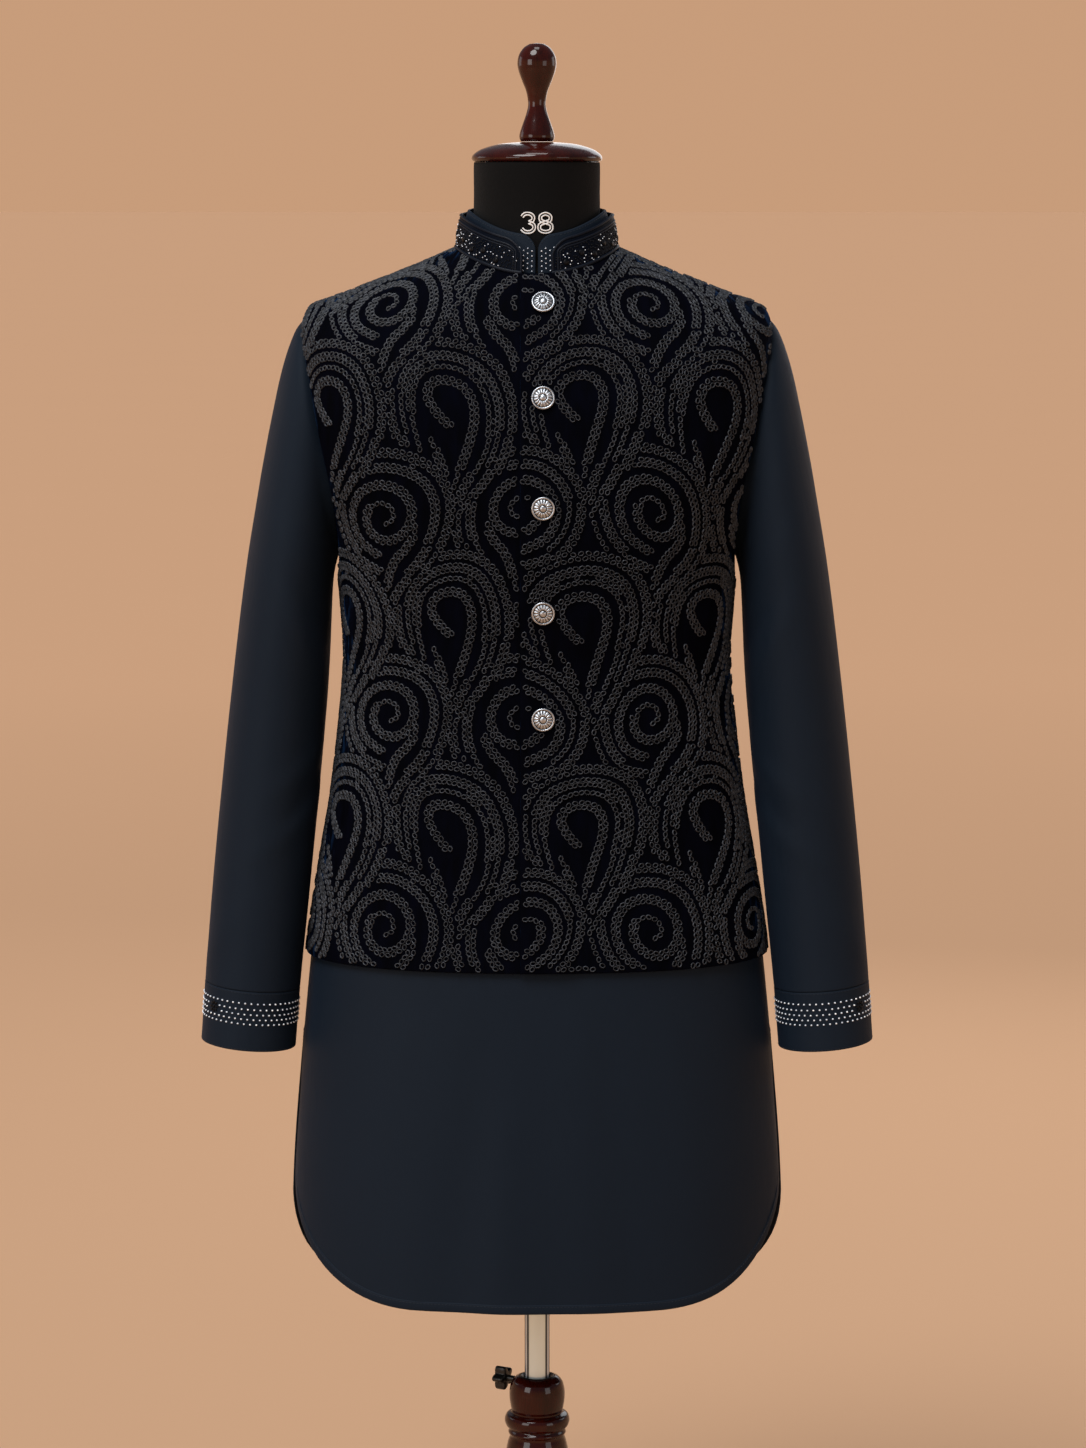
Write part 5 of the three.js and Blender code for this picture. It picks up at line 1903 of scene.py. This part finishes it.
    def _buttons(self) -> None:
        """Five cast buttons: a raised rim and a petalled middle."""
        seats, normals = self._button_seats()
        sides = self.button_sides
        turn = whole_turn(sides)
        rings = []
        for radius, height in self.BUTTON:
            petal = smoothstep(3.6, 5.0, radius) * (1 - smoothstep(8.6, 9.2, radius))
            beaded = smoothstep(9.6, 10.2, radius) * (1 - smoothstep(10.6, 11.0, radius)) * (height > 2)
            petals = 0.62 * petal * np.abs(np.sin(turn * 8)) ** 0.7 - 0.2 * petal
            relief = petals + 0.14 * beaded * np.sin(turn * 32)
            reach = radius * self.button_shown
            rings.append(np.stack([reach * np.cos(turn), reach * np.sin(turn), height + relief], 1))
        points = np.concatenate(rings)
        faces = grid_faces(len(self.BUTTON), sides, True)
        for index, (seat, normal) in enumerate(zip(seats, normals), 1):
            axes = frames_of(normal[None], np.array([[0, 0.1, 1.0]]))[0]
            piece = build_mesh(f"waistcoat_button_{index}_cast", points @ axes + seat, [faces])
            self._place(piece, Slot.BUTTON, self.finishes.silver, f"waistcoat_button_{index}")

    def _collar(self) -> None:
        """The stand collar: satin with piping round its open edge, and beads along its foot."""
        collar = StandCollar(
            self.block, self.neck_ring, self.collar_height, lean=4.5, end_x=13, corner=19,
            cloth=self.cloth, seat=self._seat,
        )
        band = collar.shell().piece("waistcoat_collar_band")
        self._place(band, Slot.COLLAR, self.finishes.satin, "waistcoat_collar")
        piping = Heap()
        for inset, width, height in ((1.2, 2.2, 1.0), (6.3, 1.7, 0.9), (8.6, 1.3, 0.6)):
            line = collar.line(inset)
            points = collar.point(line[:, 0], line[:, 1], -0.1)
            normals = collar.axes(line[:, 0], line[:, 1])[:, 2]
            piping.add(*sweep(points, normals, round_profile(width, height, 8)))
        foot = np.linspace(0.5, collar.length - 0.5, 330)
        points = collar.point(foot, np.full(foot.shape, 0.6), 0.1)
        normals = collar.axes(foot, np.full(foot.shape, 1.2))[:, 2]
        piping.add(*sweep(points, normals, round_profile(3.2, 2.0, 8, 0.4)))
        cord = self._place(piping.piece("waistcoat_collar_piping"), Slot.COLLAR, self.finishes.piping)
        silver, smoke = self._collar_beads(collar)

    def _collar_beads(self, collar: StandCollar) -> tuple[Piece, Piece]:
        """Rosettes of smoke discs in silver rings along the foot of the collar, with beads strewn between."""
        rng = np.random.default_rng(self.seed)
        silver, smoke = Heap(), Heap()
        place = np.arange(15.0, collar.length - 12, self.rosette_pitch)
        place = place + rng.uniform(-1.0, 1.0, len(place))
        rise = np.where(np.arange(len(place)) % 2 == 0, 7.8, 12.6) + rng.uniform(-0.6, 0.6, len(place))
        rise = np.minimum(rise, np.minimum(collar.top(place), collar.height) - 11.5)
        smoke.stamp(*dome(6.6, 6.6, 1.1, 14), collar.point(place, rise), collar.axes(place, rise))
        placed = np.column_stack([place, rise])
        tries = self.strewn_tries
        strewn = np.column_stack([rng.uniform(4, collar.length - 4, tries), rng.uniform(2.4, 22, tries)])
        strewn = strewn[strewn[:, 1] < collar.top(strewn[:, 0]) - 9.4]
        strewn = strewn[np.linalg.norm(strewn[:, None] - placed[None], axis=-1).min(1) > self.rosette_clear]
        chosen: list[Array] = []
        for spot in strewn:
            if all(np.linalg.norm(spot - other) > self.bead_gap for other in chosen):
                chosen.append(spot)
        spots = np.array(chosen)
        ringed = np.linalg.norm(spots[:, None] - placed[None], axis=-1).min(1) < self.rosette_ring
        bright = rng.random(len(spots)) < np.where(ringed, self.bright_ringed, self.bright_strewn)
        for heap, pick, size in ((silver, bright, 1.3), (smoke, ~bright, 1.9)):
            at, up = spots[pick].T
            heap.stamp(*dome(size, size, 0.8), collar.point(at, up), collar.axes(at, up))
        bright_beads = silver.piece("waistcoat_collar_silver_beads")
        dark_beads = smoke.piece("waistcoat_collar_smoke_beads")
        return (
            self._place(bright_beads, Slot.BUTTON, self.finishes.silver_bead),
            self._place(dark_beads, Slot.COLLAR, self.finishes.smoke_bead),
        )


# The dress form and its stand


def smooth_profile(stops: Outline, per_stop: int = 6) -> Array:
    """A turned profile of radius and height, smoothed between its stops."""
    stops_array = np.array(stops, float)
    return hermite(stops_array, np.linspace(0, len(stops) - 1, per_stop * (len(stops) - 1) + 1))


def turned(profile: Array, sides: int) -> tuple[Array, list[Array]]:
    """A solid turned about the pole's axis, from a profile that runs up from its bottom.

    Args:
        profile: Radius and height of each ring; a first or last radius of 0 closes it.
        sides: Count of points round it.

    Returns:
        Vertices and faces.
    """
    turn = whole_turn(sides)
    radius = np.maximum(profile[:, 0], 1e-3)
    rings = np.stack(
        [
            radius[:, None] * np.cos(turn),
            radius[:, None] * np.sin(turn),
            np.broadcast_to(profile[:, 1:], (len(profile), sides)),
        ],
        -1,
    )
    return rings.reshape(-1, 3), [grid_faces(len(profile), sides, True)]


@dataclass
class DressForm:
    """The padded form: jersey torso and neck, wooden cap and finial, and the pole that carries it."""

    block: Block
    finishes: Finishes
    bottom_z: float = 760
    neck_top_z: float = 1531.5
    side_ease: float = 9
    armhole: Armhole = Armhole(1165, 1390, 60, 58)
    pole_radius: float = 12.1
    pole_bottom_z: float = 145
    number_z: float = 1475.5
    number_height: float = 20.5
    columns: int = 112
    cap_sides: int = 72
    pole_sides: int = 64

    # How far inside each ring of the block the form lies
    EASE = {
        "slit top": 34, "hip": 30, "high hip": 24, "belly": 18, "waist": 14, "ribs": 8, "armpit": 5,
        "mid armhole": 4, "shoulder tip": 1.65, "yoke": 1.65, "neckline": 3.2,
    }
    # Radius, and share of the neck's height
    NECK = ((64, 0.13), (60, 0.32), (59, 0.6), (59, 0.97), (57, 1.0))
    # Radius and height of the turnings
    CAP = (
        (0, 1531.8), (57.5, 1531.8), (60, 1533), (61, 1535.8), (58.5, 1539.5), (51, 1544), (36, 1548.2),
        (17, 1550), (0, 1550),
    )
    FINIAL = (
        (0, 1550.6), (14.8, 1550.6), (16.4, 1554), (16, 1558.5), (13.4, 1566.5), (10.4, 1575), (8.4, 1583),
        (8.5, 1589), (10.2, 1597.5), (13.6, 1606), (17, 1615.5), (18.2, 1623), (16.8, 1630.5), (12.5, 1637),
        (7, 1640.6), (0, 1641.5),
    )

    def build(self) -> None:
        """Builds the form, its cap and finial, its size number and the pole."""
        self._torso()
        self._number()
        for node, stops in (("neck_cap", self.CAP), ("finial", self.FINIAL)):
            name, profile, wood = f"{node}_lacquered", smooth_turning(stops, 6), self.finishes.wood
            turning(name, profile, self.cap_sides, Body.FORM, wood, node, crisp=False)
        self._pole()

    def _ease(self, angle: Array, ring: Array) -> Array:
        """How far inside the block the form lies."""
        stops = [self.block.ring(name) for name in self.EASE]
        ease = np.interp(ring, stops, list(self.EASE.values()))
        low, tip = self.block.ring("armpit") - 1, self.block.tip
        arm = smoothstep(low, self.block.ring("mid armhole"), ring)
        arm = arm * (1 - smoothstep(tip - 0.4, tip + 0.6, ring))
        return ease + self.side_ease * arm * np.cos(angle) ** 6

    def _even(self, length: float) -> Array:
        """Places spaced evenly along a closed ring."""
        return np.linspace(0, length, self.columns + 1)[:-1]

    def _torso(self) -> None:
        """Torso and neck in jersey, closed underneath."""
        straight = self.block.ring_at_side_z(np.linspace(self.bottom_z, self.armhole.bottom_z, 40)[:-1])
        arm = self.block.ring_at_side_z(np.linspace(self.armhole.bottom_z, self.armhole.top_z, 30)[:-1])
        tip = float(self.block.ring_at_side_z(self.armhole.top_z))
        ring = np.concatenate([straight, arm, np.linspace(tip, self.block.neckline, 34)])
        start, end = np.full(ring.shape, -math.pi), np.full(ring.shape, math.pi)
        angle, place = self.block.spread(start, end, ring, self._even)
        rings = np.broadcast_to(ring[:, None], angle.shape)
        normal = self.block.normal(angle, rings)
        rows = self.block.point(angle, rings) - normal * self._ease(angle, rings)[..., None]
        rows[0, :, 2] = self.bottom_z
        neck = self._neck(rows[-1])
        floor = rows[0] * np.array([0.985, 0.985, 1]) - [0, 0, 1.2]
        top = neck[-1] * np.array([0.05, 0.05, 1]) + [0, 0, 0.2]
        low = floor * np.array([0.02, 0.02, 1])
        stack = np.concatenate([low[None], floor[None] + [0, 0, 1.2], rows, neck, top[None]])
        up = lengths_along(stack[:, 0])
        flat = np.stack(np.broadcast_arrays(place[:1], up[:, None]), -1)
        first, last = np.arange(self.columns), np.arange(self.columns) + (len(stack) - 1) * self.columns
        faces = [grid_faces(len(stack), self.columns, True), first[None, ::-1], last[None]]
        piece = build_mesh("form_torso_jersey", stack.reshape(-1, 3), faces, flat.reshape(-1, 2) * MM)
        place_piece(piece, Body.FORM, self.finishes.jersey, ["form_torso"])

    def _neck(self, foot: Array) -> Array:
        """Rings of the neck from the torso's top ring to the cap."""
        stops = [(float(np.linalg.norm(foot[:, :2], axis=1).mean()), 0.0), *self.NECK]
        radius, rise = hermite(np.array(stops), np.linspace(0, len(stops) - 1, 36)).T
        outward = unit(foot * [1, 1, 0])
        first = np.linalg.norm(foot[:, :2], axis=1)
        share = smoothstep(0, 0.13, rise)[:, None]
        reach = first * (1 - share) + radius[:, None] * share
        z = foot[:, 2] + (self.neck_top_z - foot[:, 2]) * np.clip(rise, 0, 1)[:, None]
        return (outward * reach[..., None] + np.stack([0 * z, 0 * z, z], -1))[1:]

    def _number(self) -> None:
        """A plain size number printed on the front of the neck."""
        three = ((-3.1, 3.4), (-1.6, 5), (0.9, 5), (2.5, 3.6), (2.3, 1.4), (0.3, 0.3))
        three_low = ((0.3, 0.3), (2.6, -0.9), (3, -3.1), (1.4, -4.9), (-1.4, -5), (-3.3, -3.3))
        eight = ((0, 0.3), (2.3, 1.4), (2.3, 3.9), (0, 5.1), (-2.3, 3.9), (-2.3, 1.4), (0, 0.3))
        eight_low = ((0, 0.3), (2.8, -1.1), (2.8, -3.9), (0, -5.1), (-2.8, -3.9), (-2.8, -1.1), (0, 0.3))
        scale = self.number_height / 12.6
        print_heap = Heap()
        for shift, strokes in ((-8.0, (three, three_low)), (8.0, (eight, eight_low))):
            for stroke in strokes:
                line = spline([(shift + x * scale * 1.12, y * scale) for x, y in stroke], 0.8)
                x, z = line[:, 0], line[:, 1] + self.number_z
                rise, radius = np.array(self.NECK)[:, ::-1].T
                foot = self.block.point(-math.pi / 2, self.block.neckline)[2]
                reach = np.interp((z - foot) / (self.neck_top_z - foot), rise, radius) + 0.45
                points = np.stack([x, -np.sqrt(reach**2 - x**2), z], 1)
                for edge in (-1.2, 1.2):
                    profile = np.array([[-0.6, -0.5], [-0.6, 0.22], [0.6, 0.22], [0.6, -0.5]]) + [edge, 0]
                    print_heap.add(*sweep(points, points * [1, 1, 0], profile))
        piece = print_heap.piece("neck_size_number")
        place_piece(piece, Body.FORM, self.finishes.print)

    def _pole(self) -> None:
        """The chromed pole and its flange under the form."""
        foot, top = self.pole_bottom_z, self.bottom_z - SEAM_GAP
        low, radius = top - 7, self.pole_radius
        shaft = [(radius, z) for z in np.linspace(foot + 4, low - 19, 14)]
        stops = [
            (0, foot), (radius - 0.6, foot), (radius, foot + 0.6), *shaft, (radius, low - 18),
            (radius + 5.2, low - 16.8), (radius + 6, low - 15.6), (radius + 6, low - 1), (radius + 7, low),
            (43.8, low), (45, low + 1), (45, top - 1), (44, top), (0, top),
        ]
        profile = np.array(stops, float)
        turning("pole_tube", profile, self.pole_sides, Body.FORM, self.finishes.chrome, "pole")


def smooth_turning(stops: Outline, per_stop: int) -> Array:
    """A smoothed profile whose flat first and last stretches stay straight."""
    inner = smooth_profile(stops[1:-1], per_stop)
    return np.concatenate([[stops[0]], inner, [stops[-1]]])


def sharpen(piece: Piece, degrees: float = 35) -> None:
    """Marks edges that turn by more than an angle as sharp."""
    piece.data.set_sharp_from_angle(angle=math.radians(degrees))


def turning(
    name: str,
    profile: Array,
    sides: int,
    body: Body,
    finish: bpy.types.Material,
    node: str,
    crisp: bool = True,
) -> None:
    """Makes a piece that is turned about the pole's axis and stands for one node.

    Args:
        name: The piece's name.
        profile: Radius and height of each stop, from below.
        sides: Columns round the axis.
        body: The body it rides on.
        finish: Its material.
        node: The node it stands for.
        crisp: Whether its steep edges stay sharp.
    """
    piece = build_mesh(name, *turned(profile, sides))
    if crisp:
        sharpen(piece)
    place_piece(piece, body, finish, [node])


@dataclass
class Stand:
    """The turned stand: base, column, the bushing that guides the pole, and the clamp knob."""

    finishes: Finishes
    column_top_z: float = 366
    bore_bottom_z: float = 92
    bore_radius: float = 12.4
    bushing_radius: float = 17.5
    bushing_depth: float = 16
    knob_z: float = 359
    knob_yaw: float = math.radians(150)
    knob_radius: float = 12
    knob_lobe: float = 2.4
    knob_out: float = 33
    base_sides: int = 128
    column_sides: int = 80
    bushing_sides: int = 64
    knob_sides: int = 90

    # Radius and height of the turnings
    COLUMN = (
        (48, 62), (50, 68), (46, 74), (40, 78), (42.4, 86), (39, 96), (31, 110), (23.4, 132), (20.6, 149),
        (22.6, 154), (26.8, 160), (22.6, 166), (20, 172), (22.4, 192), (27.6, 216), (32.6, 240), (34, 262),
        (32, 282), (28.6, 300), (26.4, 307.5), (28, 311), (26, 315), (29.6, 317), (31.5, 323), (29.4, 328.6),
        (24.4, 330.5), (25.6, 336), (26.8, 345), (26.6, 353), (24.4, 361), (20.5, 365.2),
    )
    BASE = (
        (190, 0), (192, 10), (191, 19), (186, 25), (180, 27), (172, 31), (150, 33), (112, 38.5), (84, 48),
        (70, 57), (62, 61.7),
    )
    # Share of the lobes' reach and distance out of the knob, then radius and distance out of its screw
    KNOB = (
        (0.0, 0.0), (0.55, 0.0), (0.86, 0.3), (0.96, 1.0), (1.0, 2.2), (1.0, 9.6), (0.97, 10.8), (0.88, 11.6),
        (0.6, 11.9), (0.5, 11.2), (0.42, 11.0), (0.0, 11.0),
    )
    SCREW = ((0.001, 12.5), (2.4, 12.5), (3.0, 13.3), (3.0, 33.5), (0.001, 33.5))

    def build(self) -> None:
        """Builds the stand."""
        self._base()
        self._column()
        self._bushing()
        self._knob()

    @staticmethod
    def _turning(
        node: str, word: str, profile: Array, sides: int, slot: Slot, finish: bpy.types.Material
    ) -> None:
        """A turned piece of the stand that stands for a node."""
        turning(f"{node}_{word}", profile, sides, Body.STAND, finish, node)

    def _base(self) -> None:
        """The round weighted base."""
        profile = np.concatenate([[(0, 0)], smooth_profile(self.BASE, 6), [(0, 61.7)]])
        profile[:, 1] = np.maximum(profile[:, 1], 0)
        self._turning("stand_base", "turned", profile, self.base_sides, Slot.WOOD, self.finishes.wood)

    def _column(self) -> None:
        """The turned column with its bore."""
        seat = self.column_top_z - self.bushing_depth
        bore = [
            (self.bushing_radius, self.column_top_z), (self.bushing_radius, seat), (self.bore_radius, seat),
            (self.bore_radius, self.bore_bottom_z), (0, self.bore_bottom_z),
        ]
        profile = np.concatenate([[(0, 62)], smooth_profile(self.COLUMN, 5), bore])
        self._turning("stand_column", "turned", profile, self.column_sides, Slot.WOOD, self.finishes.wood)

    def _bushing(self) -> None:
        """The plastic bushing in the column's top."""
        bore, lip = self.bore_radius, self.bushing_radius - SEAM_GAP
        top = self.column_top_z
        bottom = top - self.bushing_depth + SEAM_GAP
        profile = [
            (bore, bottom), (lip, bottom), (lip, top - 1.2), (lip - 0.3, top - 0.2), (lip - 1.6, top + 0.6),
            (lip - 3, top + 0.3), (bore + 0.4, top - 1), (bore, top - 2), (bore, bottom),
        ]
        sides = self.bushing_sides
        self._turning("stand_bushing", "ring", np.array(profile), sides, Slot.PLASTIC, self.finishes.plastic)

    def _knob(self) -> None:
        """The lobed clamp knob on its screw."""
        turn = whole_turn(self.knob_sides)
        cosine, sine = np.cos(turn), np.sin(turn)
        lobes = self.knob_radius - self.knob_lobe + self.knob_lobe * np.cos(5 * turn)
        yaw = np.array(Euler((0, 0, self.knob_yaw)).to_matrix())
        heap = Heap()
        for stops, reach, start in ((self.KNOB, lobes, self.knob_out), (self.SCREW, 1.0, 0.0)):
            rings = [
                np.stack([0 * turn + out + start, reach * share * cosine, reach * share * sine], 1)
                for share, out in stops
            ]
            placed = np.concatenate(rings) @ yaw.T + [0, 0, self.knob_z]
            heap.add(placed, [grid_faces(len(stops), len(turn), True)])
        piece = heap.piece("clamp_knob_moulded")
        place_piece(piece, Body.CLAMP, self.finishes.plastic, ["clamp_knob"])
        sharpen(piece, 50)


# The studio


@dataclass
class Studio:
    """A pale paper floor, soft lights and the camera."""

    camera_place: tuple[float, float, float] = (0.0057, -3.95, 1.5)
    camera_tilt: float = 82.82
    lens: float = 104.17
    sensor: float = 36
    far_clip: float = 1000
    floor_half: float = 400000
    floor_z: float = -0.2
    horizon: Colour = (0.575, 0.335, 0.198)
    sky: Colour = (0.15, 0.16, 0.18)
    horizon_rise: float = 0.08
    sky_rise: float = 0.3
    sun_strength: float = 2.5
    sun_spread: float = 32
    sun_turn: tuple[float, float, float] = (34, 0, -32)

    # Name, place, aim, size, power and colour
    LIGHTS = (
        ("key", (-2.9, -3.1, 1.9), (0, 0, 1.05), 1.9, 42.0, (1.0, 0.99, 0.97)),
        ("fill", (3.1, -2.9, 1.5), (0, 0, 1.0), 1.7, 16.0, (1.0, 0.99, 0.98)),
        ("behind", (0.9, 3.6, 2.3), (0, 0, 1.1), 2.2, 20.0, (0.95, 0.97, 1.0)),
        ("overhead", (0.0, -0.1, 3.3), (0, 0, 1.5), 0.6, 6.0, (1.0, 0.99, 0.97)),
        ("left_edge", (-2.6, 1.3, 1.9), (0, 0, 1.2), 1.2, 5.0, (0.92, 0.96, 1.0)),
        ("right_edge", (2.6, 1.3, 1.9), (0, 0, 1.2), 1.2, 7.0, (0.92, 0.96, 1.0)),
    )

    def build(self) -> None:
        """Sets up the floor, lights, air and camera."""
        self._floor()
        for row in self.LIGHTS:
            self._light(*row)
        self._sun()
        self._air()
        bpy.context.scene.view_settings.view_transform = "Standard"
        self._camera()

    def _sun(self) -> None:
        """A broad soft light from high on the camera's left, as even on the floor as on the part."""
        data = bpy.data.lights.new("wide_soft", "SUN")
        data.energy = self.sun_strength
        data.angle = math.radians(self.sun_spread)
        self._add(data, (0, 0, 0), [math.radians(turn) for turn in self.sun_turn])

    @staticmethod
    def _add(data: bpy.types.ID, place: Sequence[float], turn: Sequence[float]) -> Piece:
        """Adds a lamp or the camera at a place, turned by angles in radians."""
        thing = bpy.data.objects.new(data.name, data)
        thing.location = place
        thing.rotation_euler = turn
        bpy.context.scene.collection.objects.link(thing)
        return thing

    def _air(self) -> None:
        """Even light from above that meets the floor's colour at the horizon."""
        world = bpy.data.worlds.new("studio_air")
        world.use_nodes = True
        tree = world.node_tree
        rise = tree.nodes.new("ShaderNodeSeparateXYZ")
        tree.links.new(tree.nodes.new("ShaderNodeTexCoord").outputs["Generated"], rise.inputs[0])
        ramp = tree.nodes.new("ShaderNodeValToRGB")
        stops = ((self.horizon_rise, self.horizon), (self.sky_rise, self.sky))
        for element, (position, colour) in zip(ramp.color_ramp.elements, stops):
            element.position = position
            element.color = (*colour, 1.0)
        tree.links.new(rise.outputs["Z"], ramp.inputs[0])
        tree.links.new(ramp.outputs[0], tree.nodes["Background"].inputs["Color"])
        bpy.context.scene.world = world

    def _floor(self) -> None:
        """A wide flat floor."""
        half, z = self.floor_half, self.floor_z
        corners = np.array([(-half, -half, z), (half, -half, z), (half, half, z), (-half, half, z)])
        floor = build_mesh("studio_floor", corners, [np.array([[0, 1, 2, 3]])])
        floor.data.materials.append(StudioPaint().material())
        floor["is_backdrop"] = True

    def _light(
        self,
        name: str,
        place: Sequence[float],
        aim: Sequence[float],
        size: float,
        power: float,
        colour: Colour,
    ) -> None:
        """A soft square light aimed at a point."""
        data = bpy.data.lights.new(name, "AREA")
        data.size = size
        data.energy = power
        data.color = colour
        self._add(data, place, (Vector(aim) - Vector(place)).to_track_quat("-Z", "Y").to_euler())

    def _camera(self) -> None:
        """The camera at the photograph's place."""
        data = bpy.data.cameras.new("camera")
        data.lens = self.lens
        data.sensor_width = self.sensor
        data.clip_end = self.far_clip
        bpy.context.scene.camera = self._add(data, self.camera_place, (math.radians(self.camera_tilt), 0, 0))


def main() -> None:
    """Builds the studio and the part."""
    Studio().build()
    finishes = Finishes()
    block = Block()
    garments = (Kurta(block, finishes), Waistcoat(block, finishes))
    for assembly in (*garments, DressForm(block, finishes), Stand(finishes)):
        assembly.build()
    count = sum(len(p.vertices) - 2 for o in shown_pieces() if o.type == "MESH" for p in o.data.polygons)
    LOG.info("triangles: %d", count)


if __name__ == "__main__":
    logging.basicConfig(level=logging.INFO, format="%(message)s")
    main()
